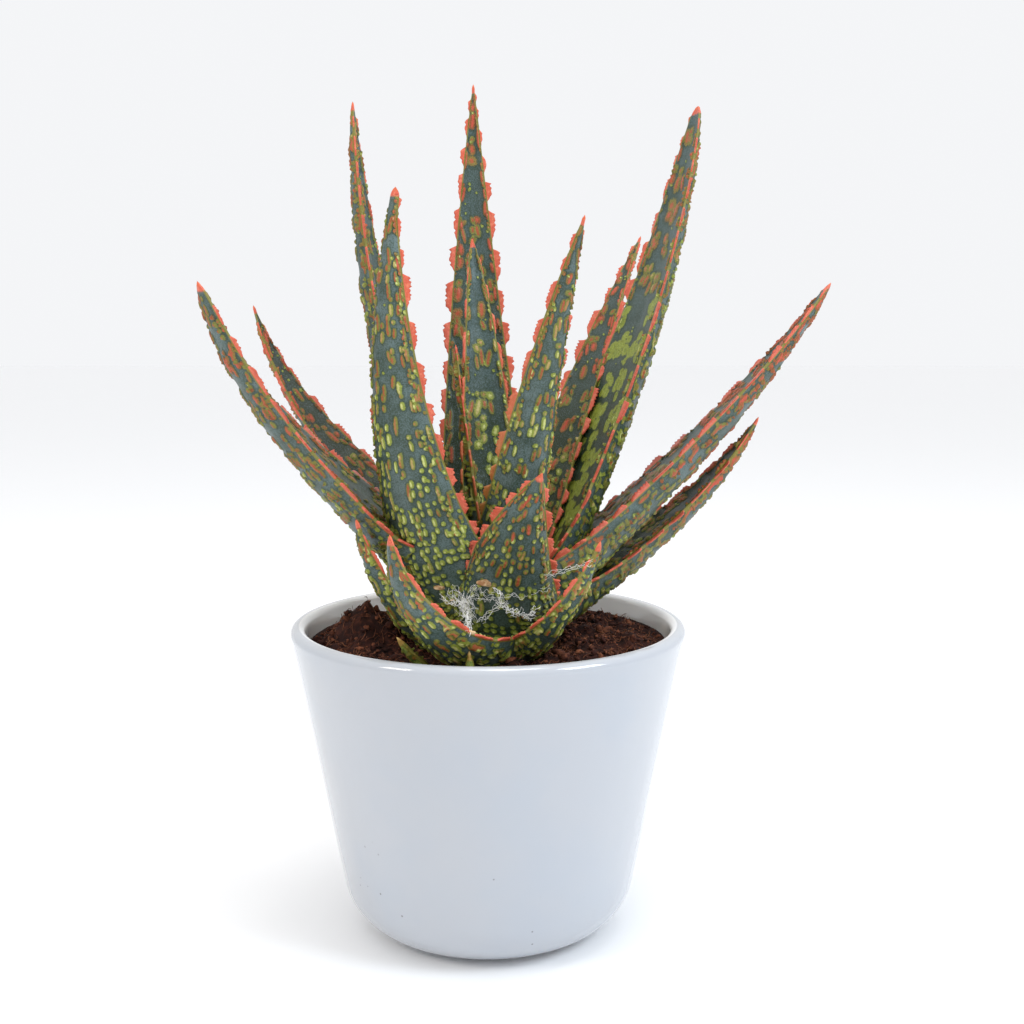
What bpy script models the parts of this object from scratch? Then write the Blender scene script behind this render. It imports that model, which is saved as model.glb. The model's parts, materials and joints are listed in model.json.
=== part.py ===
"""A potted aloe hybrid: a rosette of toothed, warty leaves on a short stem, in soil, in a glazed pot.

Run it with blender --background --python part.py, or from Blender's text editor.
The frame is +Z up, with its origin at the middle of the pot's flat base, and the plant's front towards -Y.
"""

import random
from dataclasses import dataclass
from math import atan2, copysign, cos, pi, radians, sin, sqrt

import bmesh
import bpy
from mathutils import Vector, noise
from mathutils.bvhtree import BVHTree

MM = 0.001

# Pot
POT_HEIGHT = 103.5 * MM
POT_RIM_RADIUS = 66 * MM
POT_FOOT_RADIUS = 45.8 * MM
POT_WALL = 5.2 * MM
POT_FLOOR = 7 * MM
POT_CORNER = 20 * MM
POT_INNER_CORNER = 12 * MM
POT_TURNS = 40
CORNER_STEPS = 4
LIP_STEPS = 3
MERGE_DISTANCE = 0.02 * MM

# Soil
SOIL_LEVEL = 97 * MM
SOIL_DIP = 5 * MM
SOIL_DIP_RADIUS = 34 * MM
SOIL_LUMP = 3.2 * MM
SOIL_LUMP_SPACING = 13 * MM
SOIL_CRUMB_SHARE = 0.5
SOIL_CRUMB_FINENESS = 2.3
SOIL_CRUMB_SHIFT = Vector((7, 3, 1))
SOIL_EDGE_FADE = 9 * MM
SOIL_RINGS = 6
SOIL_TURNS = 36

# Stem: its outline between its crown and its root end is (share of the radius, height) from the top down
STEM_X = 3 * MM
STEM_RADIUS = 10.5 * MM
STEM_FOOT = 60 * MM
STEM_TOP = 119 * MM
STEM_OUTLINE = (
    (0.3, 117.5 * MM),
    (0.55, 113 * MM),
    (0.85, 106 * MM),
    (1.0, 99 * MM),
    (1.0, 68 * MM),
    (0.7, 62 * MM),
)
STEM_TURNS = 20

# Gap kept between pieces that touch
GAP = 0.3 * MM
LEAF_GAP = 0.4 * MM

# Leaf edges: a tooth every TOOTH_PITCH, each of them between TOOTH_LEAST and the whole of its height
TOOTH_PITCH = 10 * MM
TOOTH_ROOT_HEIGHT = 2.5 * MM
TOOTH_TIP_HEIGHT = 1.0 * MM
TOOTH_LEAST = 0.75
TOOTH_NOTCH = 0.15 * MM
FEWEST_TEETH = 3
EDGE_THICKNESS = 1.1 * MM
EDGE_THINNING = 0.45

# Leaf faces: raised warts on a share of the section's points, lower on the upper face and towards the tip
WART_HEIGHT = 0.6 * MM
WART_SHARE = 0.45
WART_FADE = 0.5
UPPER_WART_SHARE = 0.5

# Leaf outline and section
WIDTH_SHOULDER = 1.05
BELLY_TAPER = 0.7
BELLY_ROUNDNESS = 2.2
ROLL_REACH = 0.25
SHEATH_LENGTH = 32 * MM
CLASP_LENGTH = 42 * MM
CLASP_ANGLE = 72.0
CLASP_WIDTH = 27.0
CLASP_FADE = 1.5
TIP_ROOM = 2.0
TIP_CROWDING = 0.12
MIDLINE_STEPS = 240

# The section's points, as shares of the half width: across the upper face, and back across the lower one
UPPER_FRACTIONS = (-0.55, 0.0, 0.55)
LOWER_FRACTIONS = (1.0, 0.72, 0.38, 0.0, -0.38, -0.72, -1.0)

# The root's flat end is closed by fans of triangles: a point of the section, and the points it is joined to
ROOT_FANS = ((1, (0, 11, 10, 9)), (2, (1, 9, 8, 7, 3)), (3, (7, 6, 5, 4)))


@dataclass(frozen=True)
class Leaf:
    """One leaf, in millimetres and degrees. A heading of 0 points along +X and 270 towards the front.

    It starts root_out from the stem's axis at height root_up. From root to tip its heading changes by sweep,
    and its rise above the level goes from root_rise to tip_rise, late in the leaf where bend is above 1. Taper,
    roll, fold and sheath set how fast it narrows, its twist, how far its halves fold up, and how much wider its
    base is.
    """

    name: str
    heading: float
    sweep: float
    root_out: float
    root_up: float
    root_rise: float
    tip_rise: float
    bend: float
    length: float
    width: float
    thickness: float
    taper: float = 0.9
    roll: float = 0.0
    fold: float = 14.0
    sheath: float = 0.1


# The leaves run from the heart of the rosette outwards. Each one is cut clear of those before it.
LEAVES = (
    Leaf("leaf_heart", 151, 0, 1, 115.5, 78, 81, 1.0, 80, 16, 4.5, fold=40),
    Leaf("leaf_heart_back", 118, 1, 3, 113, 86, 80, 0.9, 117, 25, 5.5, taper=0.7, roll=-10, fold=25),
    Leaf("leaf_front_right", 294, 2, 5, 112, 77.5, 58, 0.6, 132, 26, 8.0, roll=3),
    Leaf("leaf_back_tall", 103, -7, 5, 112, 59.5, 91, 0.8, 178, 34.5, 8.0, roll=-12),
    Leaf("leaf_left_tall", 162, 4, 6, 110, 62, 87, 0.9, 170, 28, 9.5, taper=0.75, roll=4),
    Leaf("leaf_right_rear", 51, 3, 6, 110, 61.5, 52, 1.1, 147, 23.5, 6.5, taper=0.85, roll=3),
    Leaf("leaf_left_rear", 148, 16, 8, 112, 36.5, 72, 2.25, 132, 28, 8.0, taper=0.95, roll=-18),
    Leaf("leaf_front_left", 216, 1, 12, 108, 48.5, 97.5, 0.6, 140, 41, 9.0, taper=0.95, roll=17),
    Leaf("leaf_right_tall", 33, -7, 7, 108, 57.5, 78.5, 1.35, 184, 36, 11.0, taper=0.45, roll=-7),
    Leaf("leaf_back_right_low", 55, 0, 8, 104, 42, 62, 1.0, 90, 27, 7.5),
    Leaf("leaf_right_long", 17, -8, 8, 110, 38.5, 55, 2.05, 152, 36.5, 10.0, taper=0.45, roll=-11),
    Leaf("leaf_left_long", 186, 35, 10, 113, 42, 68.5, 2.6, 134, 36.5, 10.5, taper=0.45, roll=-15),
    Leaf("leaf_back_left_low", 122, 0, 9, 104, 38, 60, 1.0, 86, 27, 7.5),
    Leaf("leaf_front_short", 277, 20, 10, 102, 59, 47.5, 1.0, 70, 39, 9.0, taper=0.85, roll=-24),
    Leaf("leaf_back_low", 86, 0, 10, 101, 30, 56, 1.0, 82, 27, 7.5),
    Leaf("leaf_right_low", 23, -17, 10, 105, 25.5, 56.5, 1.6, 107, 23.5, 10.0, taper=0.85, roll=9),
    Leaf("leaf_front_left_low", 265, -70, 10, 98, 2.5, 86.5, 1.45, 79, 28, 8.5, taper=0.75, roll=4, sheath=0.3),
    Leaf("leaf_front_right_low", 286, 41, 10, 96, 10.5, 66.5, 0.95, 69, 22.5, 6.5, taper=0.8, roll=13,
         sheath=0.3),
    Leaf("leaf_left_low", 207, 6, 10, 94, 8, 74, 0.6, 64, 20, 5.5, sheath=0.3),
)

# Small offsets that come up through the soil beside the stem
SPROUTS = (
    Leaf("sprout_left", 240, -50, 33, 88, 45, 48, 1.0, 25, 7, 3.0, sheath=0.0),
    Leaf("sprout_front", 261, 0, 46, 91, 70, 76, 1.0, 14, 6, 2.6, sheath=0.0),
)

# Colour, roughness and metallic value of each finish
FINISHES = {
    "glaze": ((0.86, 0.88, 0.9), 0.12, 0.0),
    "soil": ((0.07, 0.035, 0.02), 0.95, 0.0),
    "stem": ((0.16, 0.2, 0.08), 0.6, 0.0),
    "leaf": ((0.1, 0.19, 0.16), 0.42, 0.0),
    "sprout": ((0.2, 0.33, 0.06), 0.45, 0.0),
}


def clear_scene():
    for obj in list(bpy.data.objects):
        bpy.data.objects.remove(obj)


def new_collection(name):
    collection = bpy.data.collections.new(name)
    bpy.context.scene.collection.children.link(collection)
    return collection


def make_material(name):
    colour, roughness, metallic = FINISHES[name]
    material = bpy.data.materials.new(name)
    material.use_nodes = True
    shader = material.node_tree.nodes["Principled BSDF"]
    shader.inputs["Base Color"].default_value = (*colour, 1.0)
    shader.inputs["Roughness"].default_value = roughness
    shader.inputs["Metallic"].default_value = metallic
    return material


def add_object(name, mesh, collection, material=None):
    obj = bpy.data.objects.new(name, mesh)
    collection.objects.link(obj)
    if material:
        mesh.materials.clear()
        mesh.materials.append(material)
    return obj


def bake_modifiers(obj):
    """Gives the object the mesh that its modifiers make of it."""
    depsgraph = bpy.context.evaluated_depsgraph_get()
    mesh = bpy.data.meshes.new_from_object(obj.evaluated_get(depsgraph))
    obj.modifiers.clear()
    obj.data = mesh


def arc(centre_x, centre_z, radius, start, end, steps):
    """Points of an arc in the profile plane, with angles in radians from +X."""
    return [
        (centre_x + radius * cos(start + (end - start) * k / steps),
         centre_z + radius * sin(start + (end - start) * k / steps))
        for k in range(steps + 1)
    ]


def turned(name, profile, turns, collection, material=None):
    """A solid of revolution about Z, from a profile that runs down its outer side."""
    mesh = bpy.data.meshes.new(name)
    mesh.from_pydata([(x, 0, z) for x, z in profile], [(k, k + 1) for k in range(len(profile) - 1)], [])
    obj = add_object(name, mesh, collection, material)
    screw = obj.modifiers.new("turn", "SCREW")
    screw.steps = turns
    screw.render_steps = turns
    screw.use_merge_vertices = True
    screw.merge_threshold = MERGE_DISTANCE
    screw.use_smooth_shade = True
    return obj


def wall_slope():
    """The angle of the pot's wall from the vertical."""
    return atan2(POT_RIM_RADIUS - POT_FOOT_RADIUS, POT_HEIGHT)


def outer_radius(z):
    """The radius of the pot's straight outer wall, at height z."""
    return POT_FOOT_RADIUS + (POT_RIM_RADIUS - POT_FOOT_RADIUS) * z / POT_HEIGHT


def inner_radius(z):
    return outer_radius(z) - POT_WALL / cos(wall_slope())


def make_pot(collection, material):
    """A tapered pot with a round lip, a full round corner above its flat foot, and a plain cavity."""
    slope = wall_slope()
    lip = POT_WALL / 2
    lip_x = outer_radius(POT_HEIGHT - lip) - lip / cos(slope)
    corner_x = outer_radius(POT_CORNER) - POT_CORNER / cos(slope)
    inner_z = POT_FLOOR + POT_INNER_CORNER
    inner_x = inner_radius(inner_z) - POT_INNER_CORNER / cos(slope)
    profile = [(0, POT_FLOOR)]
    profile += arc(inner_x, inner_z, POT_INNER_CORNER, -pi / 2, -slope, CORNER_STEPS)
    profile += arc(lip_x, POT_HEIGHT - lip, lip, pi - slope, -slope, 2 * LIP_STEPS)
    profile += arc(corner_x, POT_CORNER, POT_CORNER, -slope, -pi / 2, CORNER_STEPS)
    profile.append((0, 0))
    turned("pot", profile, POT_TURNS, collection, material)


def soil_height(x, y):
    """The height of the soil's top: a dip round the stem, and lumps that fade out at the pot's wall."""
    from_stem = sqrt((x - STEM_X) ** 2 + y**2)
    dip = SOIL_DIP * max(0.0, 1 - from_stem / SOIL_DIP_RADIUS)
    edge = inner_radius(SOIL_LEVEL) - sqrt(x * x + y * y)
    fade = min(1.0, max(0.0, edge / SOIL_EDGE_FADE))
    where = Vector((x, y, 0)) / SOIL_LUMP_SPACING
    crumbs = SOIL_CRUMB_SHARE * noise.noise(where * SOIL_CRUMB_FINENESS + SOIL_CRUMB_SHIFT)
    return SOIL_LEVEL - dip + SOIL_LUMP * (noise.noise(where) + crumbs) * fade


def make_soil(collection, material):
    """The soil that fills the pot, with a lumpy top."""
    slope = wall_slope()
    side_z = POT_FLOOR + POT_INNER_CORNER
    side_x = inner_radius(side_z) - POT_INNER_CORNER / cos(slope)
    top_radius = inner_radius(SOIL_LEVEL) - GAP / cos(slope)
    profile = [(top_radius * k / SOIL_RINGS, SOIL_LEVEL) for k in range(SOIL_RINGS + 1)]
    profile += arc(side_x, side_z, POT_INNER_CORNER - GAP, -slope, -pi / 2, CORNER_STEPS)
    profile.append((0, POT_FLOOR + GAP))
    soil = turned("soil", profile, SOIL_TURNS, collection, material)
    bake_modifiers(soil)
    for vertex in soil.data.vertices:
        if abs(vertex.co.z - SOIL_LEVEL) < MERGE_DISTANCE:
            vertex.co.z = soil_height(vertex.co.x, vertex.co.y)
    return soil


def make_stem(name, swell, collection, material=None):
    """The stem, from its blunt crown to its round root end, with every side moved out by swell."""
    middle = (STEM_TOP + STEM_FOOT) / 2
    profile = [(0, STEM_TOP + swell)]
    profile += [(share * STEM_RADIUS + swell, z + copysign(swell, z - middle)) for share, z in STEM_OUTLINE]
    profile.append((0, STEM_FOOT - swell))
    stem = turned(name, profile, STEM_TURNS, collection, material)
    stem.location.x = STEM_X
    return stem


class LeafShape:
    """The midline and cross-sections of one leaf. With a swell above 0 it is the smooth body that holds it."""

    def __init__(self, leaf, seed, swell=0.0):
        self.leaf = leaf
        self.swell = swell
        self.random = random.Random(seed)
        self.stations = 2 * max(FEWEST_TEETH, round(leaf.length * MM / TOOTH_PITCH))
        self.trace_midline()

    def trace_midline(self):
        """Walks along the leaf in small steps, as its heading and its rise change from root to tip."""
        leaf = self.leaf
        root = radians(leaf.heading)
        out = leaf.root_out * MM
        place = Vector((STEM_X + out * cos(root), out * sin(root), leaf.root_up * MM))
        step = leaf.length * MM / MIDLINE_STEPS
        self.points = []
        self.frames = []
        for k in range(MIDLINE_STEPS + 1):
            share = k / MIDLINE_STEPS
            heading = radians(leaf.heading + leaf.sweep * share)
            rise = radians(leaf.root_rise + (leaf.tip_rise - leaf.root_rise) * share**leaf.bend)
            along = Vector((cos(rise) * cos(heading), cos(rise) * sin(heading), sin(rise)))
            across = Vector((-sin(heading), cos(heading), 0))
            upper = along.cross(across)
            roll = radians(leaf.roll) * min(1.0, share / ROLL_REACH)
            self.points.append(place.copy())
            turned_across = across * cos(roll) + upper * sin(roll)
            self.frames.append((turned_across, upper * cos(roll) - across * sin(roll)))
            place += along * step

    def at(self, share):
        """The midline's point, sideways direction and upper direction, at a share of the length."""
        k = min(MIDLINE_STEPS, round(share * MIDLINE_STEPS))
        return (self.points[k].copy(), *self.frames[k])

    def near_root(self, share, reach):
        """1 at the root, falling to 0 at the given distance along the leaf."""
        return max(0.0, 1 - share * self.leaf.length * MM / reach)

    def half_width(self, share):
        """Half the leaf's width: widest where it clasps the stem, then a long taper."""
        taper = min(1.0, WIDTH_SHOULDER * (1 - share) ** self.leaf.taper)
        sheath = 1 + self.leaf.sheath * self.near_root(share, SHEATH_LENGTH)
        return self.leaf.width / 2 * MM * taper * sheath

    def belly(self, share):
        """How far the lower face bulges below the leaf's edges."""
        return self.leaf.thickness * MM * (1 - share) ** BELLY_TAPER

    def curl(self, share):
        """The angle that each half of the leaf bends up by: clasped round the stem, then a shallow fold."""
        fold = self.leaf.fold
        clasp = max(fold, CLASP_ANGLE * min(1.0, self.leaf.width / CLASP_WIDTH))
        return radians(fold + (clasp - fold) * self.near_root(share, CLASP_LENGTH) ** CLASP_FADE)

    def tooth(self, share, out):
        """How far the edge stands out: a tooth where out is true, and a notch elsewhere."""
        if self.swell:
            return TOOTH_ROOT_HEIGHT + self.swell
        height = TOOTH_ROOT_HEIGHT + (TOOTH_TIP_HEIGHT - TOOTH_ROOT_HEIGHT) * share
        return height * self.random.uniform(TOOTH_LEAST, 1.0) if out else TOOTH_NOTCH

    def wart(self, share):
        """How far one point of a face is raised."""
        if self.swell:
            return WART_HEIGHT
        raised = self.random.random() < WART_SHARE
        return WART_HEIGHT * (1 - WART_FADE * share) if raised else 0.0

    def section(self, share, toothed):
        """The cross-section's points, as distances sideways and upwards: one edge, the upper face, the other
        edge, and the lower face back. Its points lie off an arc that the leaf's width is bent along."""
        half = self.half_width(share) + self.swell
        edge = EDGE_THICKNESS / 2 * (1 - EDGE_THINNING * share) + self.swell
        curl, belly = self.curl(share), self.belly(share)
        radius = half / curl

        def bent(across, up):
            turn = curl * across
            return ((radius - up) * sin(turn), radius - (radius - up) * cos(turn))

        upper = [bent(f, edge + UPPER_WART_SHARE * self.wart(share)) for f in UPPER_FRACTIONS]
        lower = []
        for f in LOWER_FRACTIONS:
            wart = self.wart(share) if abs(f) < 1 or self.swell else 0.0
            lower.append(bent(f, -edge - belly * (1 - abs(f) ** BELLY_ROUNDNESS) - wart))
        left, right = (1 + self.tooth(share, toothed) / half for _ in range(2))
        return [bent(-left, 0.0), *upper, bent(right, 0.0), *lower]

    def rings(self, shell):
        """Adds the vertices of each cross-section to the shell, closer together towards the tip."""
        rings = []
        for k in range(self.stations):
            u = k / self.stations
            share = u + TIP_CROWDING * u * (1 - u)
            centre, across, upper = self.at(share)
            if k == 0:
                centre -= (self.points[1] - self.points[0]).normalized() * self.swell
            points = self.section(share, toothed=k % 2 == 1)
            rings.append([shell.verts.new(centre + across * x + upper * y) for x, y in points])
        return rings

    def to_mesh(self, name):
        """A loft through the sections, closed by a flat root and a pointed tip."""
        shell = bmesh.new()
        rings = self.rings(shell)
        beyond = (self.points[-1] - self.points[-2]).normalized() * TIP_ROOM * self.swell
        tip = shell.verts.new(self.points[-1] + beyond)
        count = len(rings[0])
        for ring, after in zip(rings, rings[1:]):
            for k in range(count):
                m = (k + 1) % count
                shell.faces.new((ring[k], ring[m], after[m]))
                shell.faces.new((ring[k], after[m], after[k]))
        for k in range(count):
            shell.faces.new((rings[-1][k], rings[-1][(k + 1) % count], tip))
        for hub, rim in ROOT_FANS:
            for k, m in zip(rim, rim[1:]):
                shell.faces.new((rings[0][hub], rings[0][k], rings[0][m]))
        bmesh.ops.recalc_face_normals(shell, faces=shell.faces)
        mesh = bpy.data.meshes.new(name)
        shell.to_mesh(mesh)
        shell.free()
        mesh.shade_smooth()
        return mesh


def surface_tree(obj):
    shape = bmesh.new()
    shape.from_mesh(obj.data)
    shape.transform(obj.matrix_world)
    tree = BVHTree.FromBMesh(shape)
    shape.free()
    return tree


def touch(first, second):
    """Whether the surfaces of two objects cross."""
    return bool(surface_tree(first).overlap(surface_tree(second)))


def keep_largest(obj):
    """Drops the loose scraps that a cut leaves, and keeps the largest body."""
    shape = bmesh.new()
    shape.from_mesh(obj.data)
    bodies = []
    waiting = set(shape.verts)
    while waiting:
        reached = [waiting.pop()]
        body = set(reached)
        while reached:
            for edge in reached.pop().link_edges:
                for vertex in edge.verts:
                    if vertex in waiting:
                        waiting.remove(vertex)
                        body.add(vertex)
                        reached.append(vertex)
        bodies.append(body)
    bodies.sort(key=len, reverse=True)
    scraps = [vertex for body in bodies[1:] for vertex in body]
    bmesh.ops.delete(shape, geom=scraps, context="VERTS")
    shape.to_mesh(obj.data)
    shape.free()


def cut_clear(obj, cutters):
    """Cuts an object clear of each cutter that it crosses."""
    for cutter in cutters:
        if not touch(obj, cutter):
            continue
        cut = obj.modifiers.new("clear of " + cutter.name, "BOOLEAN")
        cut.operation = "DIFFERENCE"
        cut.object = cutter
        cut.use_self = True
        bake_modifiers(obj)
        keep_largest(obj)


def hide_cutter(obj):
    obj.hide_render = True
    obj.display_type = "WIRE"


def make_room(leaf, seed, gap, cutters):
    """The body that other pieces are cut by, so that they keep a gap to the leaf."""
    name = leaf.name + "_room"
    room = add_object(name, LeafShape(leaf, seed, gap).to_mesh(name), cutters)
    hide_cutter(room)
    return room


def make_leaves(collection, cutters, material):
    """Makes the leaves from the heart outwards, each cut clear of the stem and of the leaves inside it."""
    stem_room = make_stem("stem_room", GAP, cutters)
    bake_modifiers(stem_room)
    bpy.context.view_layer.update()
    hide_cutter(stem_room)
    rooms = [stem_room]
    for seed, leaf in enumerate(LEAVES):
        obj = add_object(leaf.name, LeafShape(leaf, seed).to_mesh(leaf.name), collection, material)
        cut_clear(obj, rooms)
        rooms.append(make_room(leaf, seed, LEAF_GAP, cutters))
    return rooms


def make_sprouts(collection, cutters, material):
    rooms = []
    for seed, leaf in enumerate(SPROUTS, start=len(LEAVES)):
        add_object(leaf.name, LeafShape(leaf, seed).to_mesh(leaf.name), collection, material)
        rooms.append(make_room(leaf, seed, GAP, cutters))
    return rooms


def main():
    clear_scene()
    plant = new_collection("potted_aloe")
    cutters = new_collection("cutters")
    materials = {name: make_material(name) for name in FINISHES}
    make_pot(plant, materials["glaze"])
    soil = make_soil(plant, materials["soil"])
    make_stem("stem", 0.0, plant, materials["stem"])
    leaf_rooms = make_leaves(plant, cutters, materials["leaf"])
    sprout_rooms = make_sprouts(plant, cutters, materials["sprout"])
    cut_clear(soil, [*leaf_rooms, *sprout_rooms])


main()
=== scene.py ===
"""The looks of a potted spotted aloe hybrid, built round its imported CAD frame.

Each leaf is rebuilt as a fine surface on the same midline and sections as its solid: lobed margins, raised
capsule-shaped warts in bands, ridges along the margins and a coral tip. The pot, the soil with its crumbs and
fibres, the stem and the web at the plant's foot are classes of their own. Sizes are in millimetres until a
mesh is made, and in the frame's axes: +Z up, with the side that the camera sees towards -Y.
"""

from __future__ import annotations

import json
import logging
import math
from dataclasses import dataclass, field
from enum import Enum
from typing import NamedTuple

import bmesh
import bpy
import numpy as np
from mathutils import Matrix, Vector, noise
from mathutils.bvhtree import BVHTree

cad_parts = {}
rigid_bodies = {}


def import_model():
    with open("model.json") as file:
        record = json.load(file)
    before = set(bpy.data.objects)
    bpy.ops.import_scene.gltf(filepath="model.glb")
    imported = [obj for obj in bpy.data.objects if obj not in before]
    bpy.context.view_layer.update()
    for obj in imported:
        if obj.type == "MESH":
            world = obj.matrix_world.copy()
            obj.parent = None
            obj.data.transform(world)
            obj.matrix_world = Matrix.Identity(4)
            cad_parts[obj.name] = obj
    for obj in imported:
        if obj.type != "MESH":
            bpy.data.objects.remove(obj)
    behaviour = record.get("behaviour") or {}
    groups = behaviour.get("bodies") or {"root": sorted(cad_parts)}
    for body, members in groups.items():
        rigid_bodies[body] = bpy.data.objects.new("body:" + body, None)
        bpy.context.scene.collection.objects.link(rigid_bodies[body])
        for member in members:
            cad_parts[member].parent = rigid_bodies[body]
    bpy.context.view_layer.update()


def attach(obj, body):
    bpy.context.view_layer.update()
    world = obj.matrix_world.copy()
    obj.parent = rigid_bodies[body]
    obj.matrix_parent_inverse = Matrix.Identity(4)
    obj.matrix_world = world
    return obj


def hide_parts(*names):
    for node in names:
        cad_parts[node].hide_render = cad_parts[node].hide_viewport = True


LOG = logging.getLogger("potted_aloe")

MM = 0.001
BODY = "root"
STEM_X = 3.0

Colour = tuple[float, float, float]
Paint = Colour | bpy.types.NodeSocket
Range = tuple[float, float]


def paint(red: float, green: float, blue: float) -> Colour:
    """Turns a colour as a screen shows it into the linear values that Blender's sockets take.

    Args:
        red: The red share, 0 to 255.
        green: The green share, 0 to 255.
        blue: The blue share, 0 to 255.

    Returns:
        The three linear values, 0 to 1.
    """

    def linear(value: float) -> float:
        """One share, made linear."""
        share = value / 255
        return share / 12.92 if share <= 0.04045 else ((share + 0.055) / 1.055) ** 2.4

    return (linear(red), linear(green), linear(blue))


def between(span: Range, share: float) -> float:
    """The number at a share of the way from a range's first end to its last."""
    return span[0] + (span[1] - span[0]) * share


class Channel:
    """A number that varies over a surface: a shader socket that takes Python's operators."""

    def __init__(self, bench: Bench, socket: bpy.types.NodeSocket) -> None:
        """Wraps an output socket of the bench's node tree."""
        self.bench = bench
        self.socket = socket

    def _math(self, operation: str, *values: Channel | float) -> Channel:
        """A Math node on the given values, in order."""
        node = self.bench.node("ShaderNodeMath", {"operation": operation}, dict(enumerate(values)))
        return Channel(self.bench, node.outputs[0])

    def __add__(self, other: Channel | float) -> Channel:
        """self + other."""
        return self._math("ADD", self, other)

    def __radd__(self, other: float) -> Channel:
        """other + self."""
        return self._math("ADD", other, self)

    def __sub__(self, other: Channel | float) -> Channel:
        """self - other."""
        return self._math("SUBTRACT", self, other)

    def __rsub__(self, other: float) -> Channel:
        """other - self."""
        return self._math("SUBTRACT", other, self)

    def __mul__(self, other: Channel | float) -> Channel:
        """self * other."""
        return self._math("MULTIPLY", self, other)

    def __rmul__(self, other: float) -> Channel:
        """other * self."""
        return self._math("MULTIPLY", other, self)

    def rises(self, low: float, high: float) -> Channel:
        """A smooth step.

        Args:
            low: The value where the step starts.
            high: The value where it ends.

        Returns:
            0 below low, 1 above high, and a smooth curve between them.
        """
        sockets = {"Value": self, "From Min": low, "From Max": high}
        node = self.bench.node("ShaderNodeMapRange", {"interpolation_type": "SMOOTHSTEP"}, sockets)
        return Channel(self.bench, node.outputs["Result"])

    def falls(self, low: float, high: float) -> Channel:
        """A smooth step from 1 below low to 0 above high."""
        return 1 - self.rises(low, high)


class Bench:
    """The node tree of one material, and the few ways in which this object's finishes add nodes to it."""

    def __init__(self, name: str, **constants: float) -> None:
        """Starts a material on a Principled BSDF.

        Args:
            name: The material's name.
            constants: Values of the shader's own sockets, with underscores for the spaces in their names.
        """
        self.material = bpy.data.materials.new(name)
        self.material.use_nodes = True
        self.tree = self.material.node_tree
        self.shader = self.tree.nodes["Principled BSDF"]
        for socket, value in constants.items():
            title = socket.replace("_", " ").title().replace("Ior", "IOR")
            self.shader.inputs[title].default_value = value

    def node(self, kind: str, settings: dict[str, object],
             sockets: dict[str | int, object]) -> bpy.types.Node:
        """Adds a node.

        Args:
            kind: The node's type.
            settings: Its properties, which are set first.
            sockets: The value, colour, vector or link of each input, by its name, identifier or place.

        Returns:
            The node.
        """
        node = self.tree.nodes.new(kind)
        for name, value in settings.items():
            setattr(node, name, value)
        by_identifier = {socket.identifier: socket for socket in node.inputs}
        for key, value in sockets.items():
            target = by_identifier.get(key) or node.inputs[key]
            if isinstance(value, Channel):
                value = value.socket
            if isinstance(value, bpy.types.NodeSocket):
                self.tree.links.new(value, target)
            else:
                target.default_value = (*value, 1.0) if target.type == "RGBA" else value
        return node

    def ramp(self, share: Channel, *stops: tuple[float, Colour]) -> bpy.types.NodeSocket:
        """A colour ramp.

        Args:
            share: Where to read it, 0 to 1.
            stops: Its positions and colours.

        Returns:
            The colour's socket.
        """
        node = self.node("ShaderNodeValToRGB", {}, {"Fac": share})
        while len(node.color_ramp.elements) < len(stops):
            node.color_ramp.elements.new(1.0)
        for element, (position, colour) in zip(node.color_ramp.elements, stops):
            element.position = position
            element.color = (*colour, 1.0)
        return node.outputs["Color"]

    def parts(self, vector: bpy.types.NodeSocket) -> tuple[Channel, ...]:
        """The three numbers of a vector or a colour."""
        split = self.node("ShaderNodeSeparateXYZ", {}, {"Vector": vector})
        return tuple(Channel(self, socket) for socket in split.outputs)

    def stored(self, name: str) -> bpy.types.NodeSocket:
        """The three numbers that a mesh stores for each point under a name, as a vector."""
        return self.node("ShaderNodeAttribute", {"attribute_name": name}, {}).outputs["Vector"]

    def here(self) -> bpy.types.NodeSocket:
        """The object's own coordinates."""
        return self.node("ShaderNodeTexCoord", {}, {}).outputs["Object"]

    def stretch(self, where: bpy.types.NodeSocket, *finer: float) -> bpy.types.NodeSocket:
        """A vector scaled along each axis, so that a texture laid by it is that much finer there."""
        scaled = self.node("ShaderNodeVectorMath", {"operation": "MULTIPLY"}, {0: where, 1: finer})
        return scaled.outputs["Vector"]

    def grain(self, where: bpy.types.NodeSocket, scale: float, detail: float = 3.0) -> Channel:
        """Fractal noise from 0 to 1."""
        sockets = {"Vector": where, "Scale": scale, "Detail": detail, "Roughness": 0.6}
        return Channel(self, self.node("ShaderNodeTexNoise", {}, sockets).outputs["Fac"])

    def blend(self, share: Channel | float, low: Paint, high: Paint) -> bpy.types.NodeSocket:
        """A colour between two others.

        Args:
            share: 0 for the low colour and 1 for the high one.
            low: A colour, or the socket of one.
            high: A colour, or the socket of one.

        Returns:
            The socket of the mixed colour.
        """
        sockets = {"Factor_Float": share, "A_Color": low, "B_Color": high}
        outputs = self.node("ShaderNodeMix", {"data_type": "RGBA"}, sockets).outputs
        return next(socket for socket in outputs if socket.identifier == "Result_Color")

    def finish(self, colour: bpy.types.NodeSocket, roughness: Channel, height: Channel | None = None,
               depth: float = 0.1, strength: float = 1.0) -> bpy.types.Material:
        """Joins the results to the shader.

        Args:
            colour: The base colour's socket.
            roughness: The roughness.
            height: The relief, where there is any.
            depth: How deep a relief of 1 is, in millimetres.
            strength: The share of that relief that shows.

        Returns:
            The finished material.
        """
        self.tree.links.new(colour, self.shader.inputs["Base Color"])
        self.tree.links.new(roughness.socket, self.shader.inputs["Roughness"])
        if height is not None:
            sockets = {"Height": height, "Distance": depth * MM, "Strength": strength}
            bump = self.node("ShaderNodeBump", {}, sockets)
            self.tree.links.new(bump.outputs["Normal"], self.shader.inputs["Normal"])
        return self.material


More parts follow.
